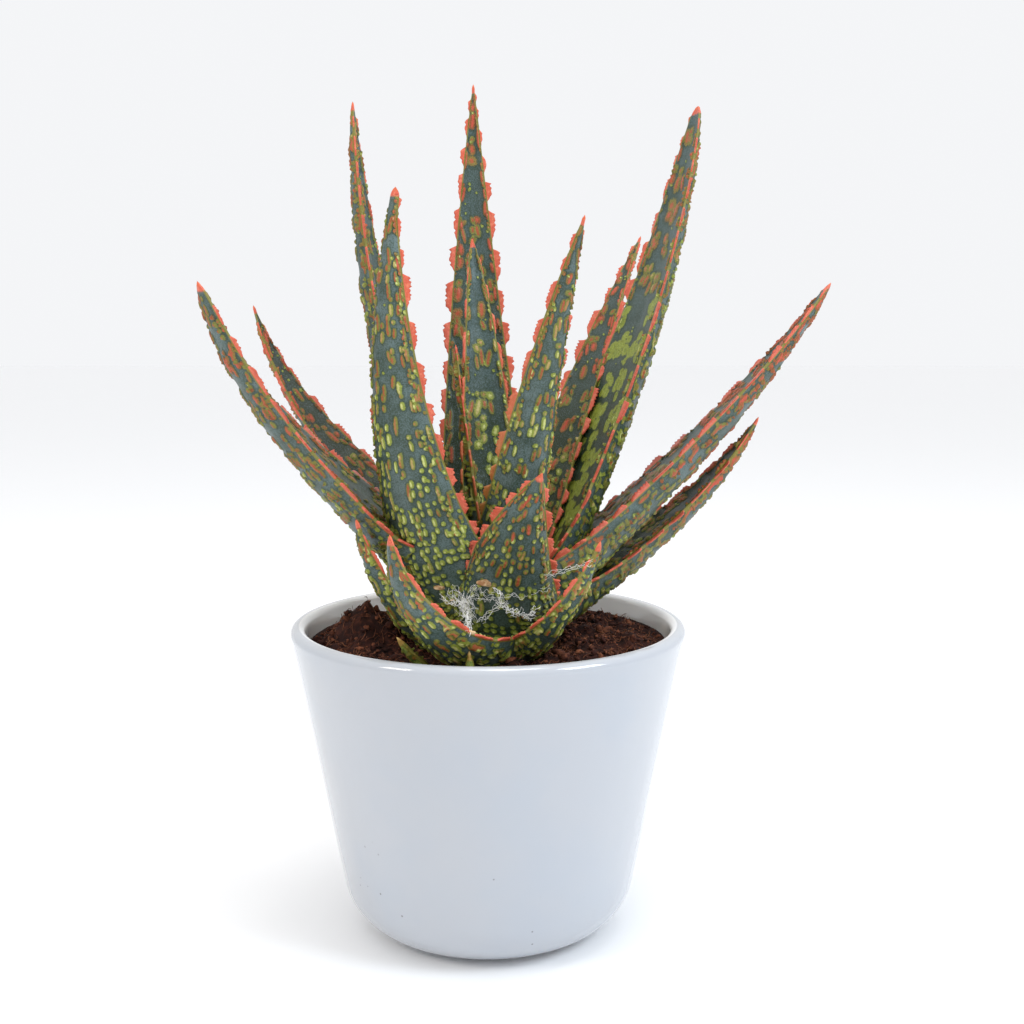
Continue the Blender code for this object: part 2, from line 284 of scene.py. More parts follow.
@dataclass(frozen=True)
class LeafSkin:
    """Waxy aloe skin: slate green, with rusty-hearted yellow-green warts, an olive seam and coral lobes.

    Each pair of numbers is where a smooth step between two colours starts and ends. For a wart it is the
    distance from its centre, with its border at 1, and for the margin the distance past the blade's edge.
    """

    name: str = "leaf_skin"
    under: Colour = paint(60, 78, 72)
    under_bloom: Colour = paint(92, 110, 110)
    upper: Colour = paint(38, 52, 26)
    upper_bloom: Colour = paint(68, 88, 88)
    base_green: Colour = paint(58, 72, 28)
    # The dark green of the random darker speckle, and of the painted shade in a ring round each wart's foot.
    speckle_and_halo_shade: Colour = paint(42, 60, 34)
    wart_rim: Colour = paint(144, 156, 62)
    wart_olive: Colour = paint(124, 122, 52)
    wart_pale: Colour = paint(196, 200, 126)
    wart_green: Colour = paint(106, 122, 38)
    wart_rust: Colour = paint(158, 78, 48)
    wart_red: Colour = paint(190, 78, 58)
    seam: Colour = paint(132, 124, 44)
    shade: Colour = paint(52, 52, 30)
    coral: Colour = paint(204, 90, 66)
    coral_light: Colour = paint(224, 126, 96)
    coral_deep: Colour = paint(150, 52, 38)
    coral_olive: Colour = paint(158, 118, 46)
    tip: Colour = paint(214, 102, 66)
    rust_step: Range = (0.32, 0.6)
    red_step: Range = (0.72, 1.0)
    green_step: Range = (-0.6, -0.4)
    heart_step: Range = (0.2, 0.66)
    wart_step: Range = (0.84, 1.26)
    halo_shade_step: Range = (1.1, 2.2)
    dome_step: Range = (0.3, 1.1)
    seam_step: Range = (-0.35, -0.05)
    coral_step: Range = (0.2, 0.36)
    fringe_step: Range = (1.3, 2.5)
    coral_tip_step: Range = (1.9, 2.7)
    tip_step: Range = (0.2, 1.4)
    base_reach: float = 0.2
    streak_stretch: tuple[float, float, float] = (0.16, 1.1, 1.0)
    streak_scale: float = 0.9
    speckle_scale: float = 2.2
    cloud_scale: float = 0.12
    ripple_scale: float = 0.7
    wander_scale: float = 1.9
    relief_depth: float = 0.5

    def material(self) -> bpy.types.Material:
        """The finish, laid by the marks, distances and shares that each leaf's mesh stores.

        Returns:
            The material.
        """
        bench = Bench(self.name, coat_weight=0.1, coat_roughness=0.35, specular_ior_level=0.35)
        skin = bench.stored("skin")
        mark, redness, rim = bench.parts(bench.stored("marks"))
        share, inner, olive = bench.parts(bench.stored("place"))
        to_tip = bench.parts(skin)[0]
        brown = bench.parts(bench.stored("brown_and_shade"))[0]
        streaks = bench.grain(bench.stretch(skin, *self.streak_stretch), self.streak_scale)
        speckle = bench.grain(skin, self.speckle_scale)
        cloud = bench.grain(skin, self.cloud_scale)
        ripple = bench.grain(skin, self.ripple_scale)
        wander = (bench.grain(skin, self.wander_scale) - 0.5) * (0.55 + inner * 0.6)

        body = bench.blend(cloud.rises(0.35, 0.7), self.under, self.under_bloom)
        # The upper face is darkest towards its root, partly painted shade deep in the rosette, and turns to
        # its bloom towards the tip.
        above = bench.blend((share + cloud * 0.3).rises(0.4, 0.9), self.upper, self.upper_bloom)
        body = bench.blend(inner, body, above)
        near_base = (self.base_reach - share).rises(0.0, self.base_reach)
        body = bench.blend(near_base * (0.35 + olive * 0.5), body, self.base_green)
        body = bench.blend((streaks - 0.5).rises(0.0, 0.3) * 0.35, body, self.upper)
        # Darkens the skin towards olive brown, most on the upper face: partly the leaf's own brown, partly
        # painted shade on leaves that lie in others' shadow.
        body = bench.blend(brown * (0.35 + inner * 0.4), body, self.shade)
        body = bench.blend(speckle.rises(0.5, 0.62) * 0.6, body, self.under_bloom)
        body = bench.blend(speckle.falls(0.38, 0.5) * 0.6, body, self.speckle_and_halo_shade)

        edge = mark + wander
        rust, red = redness.rises(*self.rust_step), redness.rises(*self.red_step)
        border = bench.blend(rust, self.wart_rim, self.wart_olive)
        border = bench.blend(red * 0.8, border, self.wart_rust)
        heart = bench.blend(rust, self.wart_pale, self.wart_rust)
        heart = bench.blend(red, heart, self.wart_red)
        lime = bench.blend(ripple.rises(0.4, 0.62), self.wart_green, self.wart_rim)
        heart = bench.blend(redness.falls(*self.green_step), heart, lime)
        wart = bench.blend(edge.falls(*self.heart_step) * (0.5 + speckle * 0.8), border, heart)
        # Painted shade: a darker green ring round each wart, standing in for the shade at the foot of its
        # relief.
        body = bench.blend(edge.falls(*self.halo_shade_step) * 0.6, body, self.speckle_and_halo_shade)
        body = bench.blend(edge.falls(*self.wart_step), body, wart)

        coral = bench.blend(ripple.rises(0.45, 0.75), self.coral, self.coral_light)
        coral = bench.blend(olive, coral, self.coral_olive)
        fringe = rim.rises(*self.fringe_step) * speckle.rises(0.4, 0.6)
        coral = bench.blend(fringe * 0.6, coral, self.coral_deep)
        coral = bench.blend(speckle.rises(0.5, 0.72) * 0.4, coral, self.coral_light)
        body = bench.blend((rim + wander * 0.4).rises(*self.seam_step) * 0.8, body, self.seam)
        body = bench.blend((rim + wander * 0.3).rises(*self.coral_step), body, coral)
        body = bench.blend((to_tip + wander * 1.6).falls(*self.coral_tip_step), body, coral)
        body = bench.blend(to_tip.falls(*self.tip_step), body, self.tip)

        relief = edge.falls(*self.dome_step) + speckle * 0.1 + streaks * 0.12
        return bench.finish(body, 0.38 + speckle * 0.14, relief, depth=self.relief_depth, strength=0.7)


@dataclass(frozen=True)
class Glaze:
    """White glaze: glossy and faintly wavy, cool in tone, with a few specks low down and a bare foot ring."""

    white: Colour = paint(176, 180, 187)
    cool: Colour = paint(169, 177, 188)
    thin: Colour = paint(206, 208, 210)
    # The cavity's glaze: painted light, far lighter than the outside's white so that the shaded inner wall
    # reads as lit.
    inside: Colour = paint(246, 246, 246)
    speck: Colour = paint(96, 92, 88)
    biscuit: Colour = paint(214, 204, 188)
    speck_height: Range = (0.03, 0.048)
    speck_size: Range = (0.1, 0.2)
    specks_chosen: Range = (0.88, 0.9)
    speck_scale: float = 420.0
    patch_scale: float = 40.0
    cloud_scale: float = 26.0
    wave_scale: float = 30.0
    pit_scale: float = 260.0

    def material(self) -> bpy.types.Material:
        """The finish. The mesh stores where the glaze is thin or missing, and the height in metres.

        Returns:
            The material.
        """
        bench = Bench("glaze", coat_weight=0.6, coat_roughness=0.03, specular_ior_level=0.6)
        thin, bare, height = bench.parts(bench.stored("coating"))
        within = bench.parts(bench.stored("within"))[0]
        here = bench.here()
        cloud = bench.grain(here, self.cloud_scale)
        colour = bench.blend(cloud.rises(0.4, 0.7) * 0.5, self.white, self.cool)
        colour = bench.blend(thin * 0.35, colour, self.thin)
        # Painted light: the cavity's faces take the much lighter inside glaze.
        colour = bench.blend(within, colour, self.inside)
        cells = bench.node("ShaderNodeTexVoronoi", {}, {"Vector": here, "Scale": self.speck_scale})
        chosen = bench.parts(cells.outputs["Color"])[0].rises(*self.specks_chosen)
        dots = Channel(bench, cells.outputs["Distance"]).falls(*self.speck_size) * chosen
        patch = bench.grain(here, self.patch_scale, 1.0).rises(0.5, 0.6) * height.falls(*self.speck_height)
        colour = bench.blend(dots * patch * 0.75, colour, self.speck)
        colour = bench.blend(bare, colour, self.biscuit)
        waves = bench.grain(here, self.wave_scale, 1.0) + bench.grain(here, self.pit_scale, 1.0) * 0.04
        return bench.finish(colour, 0.07 + cloud * 0.04 + bare * 0.6, waves, depth=0.3)


@dataclass(frozen=True)
class PottingMix:
    """Dark red-brown peat and coir, from its own noise and from a tone that each crumb or fibre stores."""

    name: str
    dark: Colour
    middle: Colour
    light: Colour
    scale: float = 620.0

    def material(self) -> bpy.types.Material:
        """The finish of the bed, the crumbs or the fibres.

        Returns:
            The material.
        """
        bench = Bench(self.name, specular_ior_level=0.25)
        tone = bench.parts(bench.stored("tone"))[0]
        here = bench.here()
        grain = bench.grain(here, self.scale, 4.0)
        lumps = bench.grain(here, self.scale / 5)
        mixed = grain * 0.55 + lumps * 0.35 + tone * 0.3
        colour = bench.ramp(mixed, (0.36, self.dark), (0.56, self.middle), (0.82, self.light))
        return bench.finish(colour, 0.8 + grain * 0.2, grain + lumps, depth=0.6)


@dataclass(frozen=True)
class StemBark:
    """The short stem: green flesh under thin brown leaf scars."""

    flesh: Colour = paint(112, 120, 62)
    scar: Colour = paint(92, 66, 42)
    flatness: float = 0.25
    ring_scale: float = 380.0
    fine_scale: float = 900.0

    def material(self) -> bpy.types.Material:
        """The finish, with scars in rings up the stem.

        Returns:
            The material.
        """
        bench = Bench("stem_bark", specular_ior_level=0.3)
        here = bench.here()
        rings = bench.grain(bench.stretch(here, self.flatness, self.flatness, 1.0), self.ring_scale)
        fine = bench.grain(here, self.fine_scale)
        colour = bench.blend(rings.rises(0.42, 0.6), self.flesh, self.scar)
        return bench.finish(colour, 0.6 + fine * 0.2, rings + fine * 0.4, depth=0.4)


@dataclass(frozen=True)
class Thread:
    """Pale web thread, brightened by a little painted glow, or the dried scraps that hang in it."""

    name: str
    pale: Colour
    dusty: Colour
    painted_glow: float = 0.0
    dust_scale: float = 500.0

    def material(self) -> bpy.types.Material:
        """The finish, dusty in patches.

        Returns:
            The material.
        """
        bench = Bench(self.name, specular_ior_level=0.3, emission_strength=self.painted_glow)
        dust = bench.grain(bench.here(), self.dust_scale)
        return bench.finish(bench.blend(dust.rises(0.4, 0.65), self.pale, self.dusty), 0.7 + dust * 0.2)


@dataclass(frozen=True)
class PaleFloor:
    """The plain pale surface that the pot stands on."""

    colour: Colour = paint(254, 254, 254)
    mottled: Colour = paint(250, 250, 251)
    mottle_scale: float = 3.0

    def material(self) -> bpy.types.Material:
        """The finish, with the faintest mottle.

        Returns:
            The material.
        """
        bench = Bench("pale_floor", specular_ior_level=0.2)
        mottle = bench.grain(bench.here(), self.mottle_scale)
        return bench.finish(bench.blend(mottle * 0.2, self.colour, self.mottled), 0.6 + mottle * 0.1)


class Draft:
    """The points, faces and stored values of one piece, gathered as arrays before Blender makes its mesh."""

    def __init__(self) -> None:
        """Starts with nothing in it."""
        self.points: list[np.ndarray] = []
        self.faces: list[np.ndarray] = []
        self.values: dict[str, list[np.ndarray]] = {}
        self.count = 0

    def add(self, points: np.ndarray, faces: list[np.ndarray], **values: np.ndarray) -> None:
        """Adds a body.

        Args:
            points: Its points in millimetres, one row each.
            faces: Arrays of corners, three or four to a row, that count this body's points from 0.
            values: Three numbers for each point, by the name they are stored under.
        """
        self.points.append(points)
        self.faces += [corners + self.count for corners in faces if len(corners)]
        for name, rows in values.items():
            self.values.setdefault(name, []).append(rows)
        self.count += len(points)

    def piece(self, name: str, material: bpy.types.Material, slot: str, *nodes: str,
              smooth: bool = True) -> bpy.types.Object:
        """Makes the object, which rides on the one body of this part.

        Args:
            name: The piece's name.
            material: Its finish.
            slot: The record's material slot, which is not used.
            nodes: The CAD nodes that it stands for.
            smooth: Whether its faces are shaded as one smooth surface.

        Returns:
            The object.
        """
        mesh = bpy.data.meshes.new(name)
        points = np.concatenate(self.points) * MM
        corners = np.concatenate([rows.ravel() for rows in self.faces])
        sizes = np.concatenate([np.full(len(rows), rows.shape[1]) for rows in self.faces])
        mesh.vertices.add(len(points))
        mesh.vertices.foreach_set("co", points.astype(np.float32).ravel())
        mesh.loops.add(len(corners))
        mesh.loops.foreach_set("vertex_index", corners.astype(np.int32))
        mesh.polygons.add(len(sizes))
        mesh.polygons.foreach_set("loop_start", (np.cumsum(sizes) - sizes).astype(np.int32))
        mesh.update(calc_edges=True)
        for stored, rows in self.values.items():
            attribute = mesh.attributes.new(stored, "FLOAT_VECTOR", "POINT")
            attribute.data.foreach_set("vector", np.concatenate(rows).astype(np.float32).ravel())
        if smooth:
            mesh.shade_smooth()
        mesh.materials.append(material)
        made = bpy.data.objects.new(name, mesh)
        bpy.context.scene.collection.objects.link(made)
        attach(made, BODY)
        if nodes:
            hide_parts(*nodes)
        LOG.info("%s: %d triangles", name, (sizes - 2).sum())
        return made


def grid_faces(rows: int, columns: int, inward: bool = False) -> np.ndarray:
    """The quads between rings of points.

    Args:
        rows: How many rings there are.
        columns: How many points a ring has.
        inward: Whether the quads' corners run the other way round.

    Returns:
        Four corners for each quad.
    """
    across = np.arange(columns)
    after = (across + 1) % columns
    low = (np.arange(rows - 1) * columns)[:, None]
    high = low + columns
    quads = np.stack([low + across, low + after, high + after, high + across], axis=-1).reshape(-1, 4)
    return quads[:, ::-1] if inward else quads


def turned(line: np.ndarray, turns: int) -> np.ndarray:
    """Turns a profile about the upright axis.

    Args:
        line: The profile's radii and heights, one row each.
        turns: How many points each ring has.

    Returns:
        The points of its rings, in the profile's order.
    """
    angles = np.arange(turns) * math.tau / turns
    radii, heights = line[:, :1], line[:, 1:]
    rings = [radii * np.cos(angles), radii * np.sin(angles), np.repeat(heights, turns, axis=1)]
    return np.stack(rings, axis=-1).reshape(-1, 3)


def arc(centre: tuple[float, float], radius: float, start: float, end: float,
        steps: int) -> list[tuple[float, float]]:
    """Points of an arc in a profile's plane, ends included.

    Args:
        centre: The centre's distance from the axis, and its height.
        radius: The arc's radius.
        start: The angle where it starts, in radians from the outward direction.
        end: The angle where it ends.
        steps: How many steps it takes.

    Returns:
        The points' distances from the axis, and their heights.
    """
    x, z = centre
    angles = [start + (end - start) * step / steps for step in range(steps + 1)]
    return [(x + radius * math.cos(angle), z + radius * math.sin(angle)) for angle in angles]


def tube(path: np.ndarray, radii: np.ndarray, sides: int = 3) -> tuple[np.ndarray, list[np.ndarray]]:
    """A thin round body along a path, closed at both ends.

    Args:
        path: The path's points, one row each.
        radii: The radius at each of them.
        sides: How many sides it has.

    Returns:
        Its points and its faces.
    """
    along = np.gradient(path, axis=0)
    along /= np.linalg.norm(along, axis=1)[:, None] + 1e-9
    helper = np.where(np.abs(along[:, 2:3]) < 0.9, [[0.0, 0.0, 1.0]], [[1.0, 0.0, 0.0]])
    across = np.cross(along, helper)
    across /= np.linalg.norm(across, axis=1)[:, None] + 1e-9
    upper = np.cross(across, along)
    angles = (np.arange(sides) * math.tau / sides)[:, None]
    ring = across[:, None] * np.cos(angles) + upper[:, None] * np.sin(angles)
    points = (path[:, None] + ring * radii[:, None, None]).reshape(-1, 3)
    last = len(path) * sides - sides
    caps = np.array([np.arange(sides)[::-1], last + np.arange(sides)])
    return points, [grid_faces(len(path), sides, inward=True), caps]


def ball(fineness: int) -> tuple[np.ndarray, np.ndarray]:
    """A ball of radius 1.

    Args:
        fineness: How often its sides are split.

    Returns:
        Its points and its triangles.
    """
    mesh = bmesh.new()
    bmesh.ops.create_icosphere(mesh, subdivisions=fineness, radius=1.0)
    points = np.array([vertex.co for vertex in mesh.verts])
    faces = np.array([[vertex.index for vertex in face.verts] for face in mesh.faces])
    mesh.free()
    return points, faces


def crumpled(points: np.ndarray, chance: np.random.Generator, tightness: float) -> np.ndarray:
    """A share from -1 to 1 for each point, which swings over the body as tightly as given."""
    bent = np.sin(points @ chance.normal(0, tightness, (3, 3)) + chance.uniform(0, 6, 3))
    return bent.mean(axis=1)


@dataclass
class LeafForm:
    """One leaf, in millimetres and degrees, on the same midline and sections as its solid.

    The fields from rust on are its looks: how rusty its marks are, how large its lobes are, how olive they
    stay towards its base, how closely its marks lie, how broad those of its upper face are, half the width of
    its tip, the size of its surface's cells, how far its skin is darkened towards brown, partly its own brown
    and partly painted shade where other leaves shadow it, how far it may stand off its solid before it is cut
    away, and the leaf that it laps over.
    """

    name: str
    heading: float
    sweep: float
    root_out: float
    root_up: float
    root_rise: float
    tip_rise: float
    bend: float
    length: float
    width: float
    thickness: float
    taper: float = 0.9
    roll: float = 0.0
    fold: float = 14.0
    sheath: float = 0.1
    rust: float = 0.45
    lobe: float = 1.0
    olive: float = 0.0
    marked: float = 1.0
    blotch: float = 1.0
    blunt: float = 0.35
    grain: float = 0.62
    # How far the skin is darkened: partly the leaf's own brown, partly painted shade where other leaves
    # shadow it.
    brown: float = 0.1
    trim: float = 1.7
    clasps: str = ""


class Mark(NamedTuple):
    """One raised capsule of a face, in millimetres; side is a share of half the leaf's width."""

    place: float
    side: float
    half_length: float
    half_width: float
    height: float
    redness: float
    skew: float = 0.0
    phase: float = 0.0


@dataclass(frozen=True)
class BandStyle:
    """How the marks of one face lie: bands up the leaf, columns across it, and capsules stacked in each.

    period and column hold the spacing at the root and far from it, and the two half lengths the ranges there.
    The lines of ridges and beads are shares of half the leaf's width.
    """

    period: Range
    column: Range
    root_half_length: Range
    far_half_length: Range
    half_width: Range
    height: Range
    filled: float
    chance: float
    skew: float
    rust: float
    ridges: tuple[float, ...]
    beads: tuple[float, ...]


class Face(Enum):
    """The two faces of a leaf, with the style of the marks on each."""

    UPPER = BandStyle(
        period=(6.0, 12.5), column=(2.0, 2.7), root_half_length=(0.9, 1.5), far_half_length=(1.2, 3.2),
        half_width=(0.75, 1.45), height=(0.4, 0.7), filled=0.7, chance=0.84, skew=0.3, rust=0.1,
        ridges=(-0.84, 0.84), beads=(-0.93, 0.93))
    LOWER = BandStyle(
        period=(3.3, 8.5), column=(1.7, 2.4), root_half_length=(0.6, 0.85), far_half_length=(1.0, 2.3),
        half_width=(0.55, 0.78), height=(0.6, 1.0), filled=0.84, chance=0.95, skew=0.08, rust=0.0,
        ridges=(-0.86, -0.2, 0.24, 0.87), beads=(-0.95, -0.76, 0.76, 0.95))


@dataclass(frozen=True)
class RowStyle:
    """How marks follow one another in a row along a leaf, in millimetres, and how red they are.

    The half length is in millimetres too, or a multiple of the half width where the marks are beads.
    """

    first: Range
    end: float
    gap: Range
    stray: float
    half_length: Range
    half_width: Range
    height: Range
    redness: float
    tip_redness: float
    redness_spread: float


@dataclass
class Marking:
    """The raised marks of one face: bands of capsules, toothed ridges, beads beside the margins, and dots."""

    form: LeafForm
    face: Face
    chance: np.random.Generator
    marks: list[Mark] = field(default_factory=list)
    far_place: float = 58.0
    start: float = 1.5
    end: float = 7.0
    band_spread: Range = (0.85, 1.15)
    slant: float = 0.0625
    column_span: float = 0.92
    column_reach: float = 0.9
    column_stray: float = 0.32
    band_stray: float = 0.22
    fill_spread: Range = (0.55, 1.1)
    sparser: float = 0.48
    least_half_length: float = 0.75
    leaf_rust: float = 0.45
    tip_rust: float = 0.62
    side_rust: float = 0.2
    rust_spread: float = 0.22
    long_rust: float = 0.08
    usual_half_length: float = 1.2
    side_taller: float = 0.35
    tip_lower: float = 0.25
    tip_narrower: float = 0.15
    wide_chance: float = 0.08
    wide: float = 1.35
    mark_gap: Range = (0.35, 1.1)
    green_share: float = 0.62
    green_redness: float = -1.0
    green_height: float = 0.45
    row_rust: float = 0.65
    row_lower: float = 0.3
    ridge_skew: float = 0.15
    bead_count: tuple[int, int] = (1, 5)
    bead_gap: Range = (0.2, 1.0)
    dot_pitch: float = 5.0
    dot_ends: Range = (4.0, 6.0)
    dot_reach: float = 0.85
    dot_radius: Range = (0.35, 0.55)
    dot_height: Range = (0.25, 0.4)
    dot_redness: Range = (0.0, 0.35)
    squareness: float = 2.4
    dome_rise: float = 1.15
    dome_power: float = 0.7
    ripple_pitch: float = 1.5
    ripple_depth: float = 0.2
    far_off: float = 3.0
    ridge_row: RowStyle = RowStyle(
        first=(12, 22), end=8, gap=(2.5, 10.0), stray=0.05, half_length=(1.5, 3.0), half_width=(0.5, 0.7),
        height=(0.55, 1.0), redness=0.3, tip_redness=0.35, redness_spread=0.2)
    bead_row: RowStyle = RowStyle(
        first=(3, 8), end=5, gap=(1.5, 5.5), stray=0.03, half_length=(1.0, 1.5), half_width=(0.42, 0.68),
        height=(1.0, 1.7), redness=0.1, tip_redness=0.45, redness_spread=0.3)

    def stray(self, most: float) -> float:
        """A number drawn from minus the given one to plus it."""
        return self.chance.uniform(-most, most)

    def lay(self, along: np.ndarray, half_arc: np.ndarray) -> None:
        """Lays the bands, with plain skin between them, and then the rows and the dots.

        Args:
            along: The distance of each ring from the root.
            half_arc: The distance from the face's middle to its margin, at each ring.
        """
        style, uniform = self.face.value, self.chance.uniform
        place = self.start
        while place < self.form.length - self.end:
            far = min(1.0, place / self.far_place)
            period = between(style.period, far) * uniform(*self.band_spread)
            room = float(np.interp(place, along, half_arc))
            columns = max(1, round(2 * room * self.column_span / between(style.column, far)))
            slant = self.stray(self.slant) * style.period[1]
            share = place / self.form.length
            for column in range(columns):
                side = (column + 0.5 + self.stray(self.column_stray)) / columns * 2 - 1
                side *= self.column_reach
                if uniform(0, 1) <= style.chance * self.form.marked * (1 - self.sparser * share):
                    low = place + slant * side + self.stray(self.band_stray) * period
                    high = low + period * style.filled * uniform(*self.fill_spread)
                    self.stack(low, high, side, share, far)
            place += period
        self.add_ridges()
        self.add_beads()
        self.add_dots()

    def stack(self, low: float, high: float, side: float, share: float, far: float) -> None:
        """Adds the capsules of one band's column.

        Args:
            low: Where the column starts, from the root.
            high: Where it ends.
            side: Where it stands across the leaf.
            share: How far up the leaf the band lies, 0 to 1.
            far: 0 for a band at the root, up to 1 for one far from it.
        """
        style, uniform = self.face.value, self.chance.uniform
        while low < high:
            root, most = style.root_half_length, style.far_half_length
            half_length = uniform(*(between(ends, far) for ends in zip(root, most)))
            half_length = min(half_length, max(self.least_half_length, (high - low) / 2))
            redness = self.leaf_rust * self.form.rust + style.rust + self.tip_rust * share
            redness += self.side_rust * abs(side) ** 3 + self.stray(self.rust_spread)
            redness += self.long_rust * (half_length - self.usual_half_length)
            tall = uniform(*style.height) * (1 + self.side_taller * side**2) * (1 - self.tip_lower * share)
            half_width = uniform(*style.half_width) * (1 - self.tip_narrower * share)
            if self.face is Face.UPPER:
                half_width *= self.form.blotch
                if self.form.blotch > 1 and share < self.green_share:
                    redness = self.green_redness
                    tall *= self.green_height
            if uniform(0, 1) > 1 - self.wide_chance:
                half_width *= self.wide
            skew, phase = self.stray(style.skew), uniform(0, math.tau)
            middle = low + half_length
            self.marks.append(Mark(middle, side, half_length, half_width, tall, redness, skew, phase))
            low += 2 * half_length + uniform(*self.mark_gap)

    def row_redness(self, row: RowStyle, share: float) -> float:
        """How red a row's mark is at a share of the leaf's length."""
        usual = row.redness + self.row_rust * self.form.rust + row.tip_redness * share
        return usual + self.stray(row.redness_spread)

    def add_ridges(self) -> None:
        """Adds the rows of long, toothed marks that follow the margins and, below, the keel."""
        row, rust, uniform = self.ridge_row, self.form.rust, self.chance.uniform
        for line in self.face.value.ridges:
            place = uniform(*row.first)
            while place < self.form.length - row.end:
                share = place / self.form.length
                half_length = uniform(*row.half_length)
                side = line + self.stray(row.stray)
                redness = self.row_redness(row, share)
                tall = uniform(*row.height) * (1 - self.row_lower * share)
                half_width = uniform(*row.half_width) * (0.85 + 0.5 * rust)
                skew, phase = self.stray(self.ridge_skew), uniform(0, math.tau)
                self.marks.append(Mark(place, side, half_length, half_width, tall, redness, skew, phase))
                place += 2 * half_length + uniform(*row.gap)

    def add_beads(self) -> None:
        """Adds clusters of small beads in rows beside the margins, which show along the leaf's outline."""
        row, uniform = self.bead_row, self.chance.uniform
        for line in self.face.value.beads:
            place = uniform(*row.first)
            while place < self.form.length - row.end:
                share = place / self.form.length
                for _ in range(int(self.chance.integers(*self.bead_count))):
                    radius = uniform(*row.half_width)
                    redness = self.row_redness(row, share)
                    side = line + self.stray(row.stray)
                    half_length = radius * uniform(*row.half_length)
                    tall = uniform(*row.height) * (1 - self.row_lower * share)
                    self.marks.append(Mark(place, side, half_length, radius, tall, redness))
                    place += 2 * radius + uniform(*self.bead_gap)
                place += uniform(*row.gap)

    def add_dots(self) -> None:
        """Adds a few small round warts anywhere."""
        uniform, (start, end) = self.chance.uniform, self.dot_ends
        for _ in range(round(self.form.length / self.dot_pitch)):
            radius = uniform(*self.dot_radius)
            place, side = uniform(start, self.form.length - end), self.stray(self.dot_reach)
            tall, redness = uniform(*self.dot_height), uniform(*self.dot_redness)
            self.marks.append(Mark(place, side, radius, radius, tall, redness))

    def from_oval(self, mark: Mark, up: np.ndarray, out: np.ndarray) -> np.ndarray:
        """Measures points against one mark.

        Args:
            mark: The mark.
            up: How far the points lie from its centre along the leaf.
            out: How far they lie from it across the leaf.

        Returns:
            1 at its outline, plus the distance from there as a share of its half width, and not below 0.
        """
        power, half_width = self.squareness, mark.half_width
        half_length = max(mark.half_length, half_width)
        up, out = np.abs(up) / half_length, np.abs(out) / half_width
        size = (up**power + out**power) ** (1 / power) + 1e-6
        up_slope, out_slope = (up / size) ** (power - 1), (out / size) ** (power - 1)
        steepness = np.hypot(up_slope / half_length, out_slope / half_width)
        return np.maximum(0.0, 1 + (size - 1) / (steepness * half_width))

    def raise_on(self, along: np.ndarray, across: np.ndarray) -> tuple[np.ndarray, np.ndarray, np.ndarray]:
        """Lays the marks and measures them over the face.

        Args:
            along: The distance of each ring from the root.
            across: The distance of each point from the face's middle, one row for each ring.

        Returns:
            For each point, how far it lies from the nearest mark (1 at its border), that mark's redness, and
            how far the face is raised.
        """
        half_arc = across.max(axis=1)
        self.lay(along, half_arc)
        nearest = np.full(across.shape, self.far_off)
        redness = np.zeros(across.shape)
        raised = np.zeros(across.shape)
        for mark in self.marks:
            room = mark.half_length + 2 * mark.half_width
            near = slice(*np.searchsorted(along, [mark.place - room, mark.place + room]))
            up = along[near, None] - mark.place
            out = across[near] - mark.side * half_arc[near, None] + mark.skew * up
            distance = self.from_oval(mark, up, out)
            closer = distance < nearest[near]
            nearest[near][closer] = distance[closer]
            redness[near][closer] = mark.redness
            dome = np.clip(self.dome_rise - distance**2, 0, 1) ** self.dome_power * mark.height
            if mark.half_length > self.ripple_pitch:
                ripple = np.cos(math.tau * up / self.ripple_pitch + mark.phase)
                dome = dome * (1 - self.ripple_depth + self.ripple_depth * ripple)
            np.maximum(raised[near], dome, out=raised[near])
        return nearest, redness, raised


class Strip(NamedTuple):
    """One side of the rings: places across and up, marks, share of the upper face and texture distances."""

    across: np.ndarray
    up: np.ndarray
    marks: np.ndarray
    inner: np.ndarray
    laid: np.ndarray

    def turned_round(self) -> Strip:
        """The same strip with its columns in the opposite order."""
        return Strip(*(rows[:, ::-1] for rows in self))


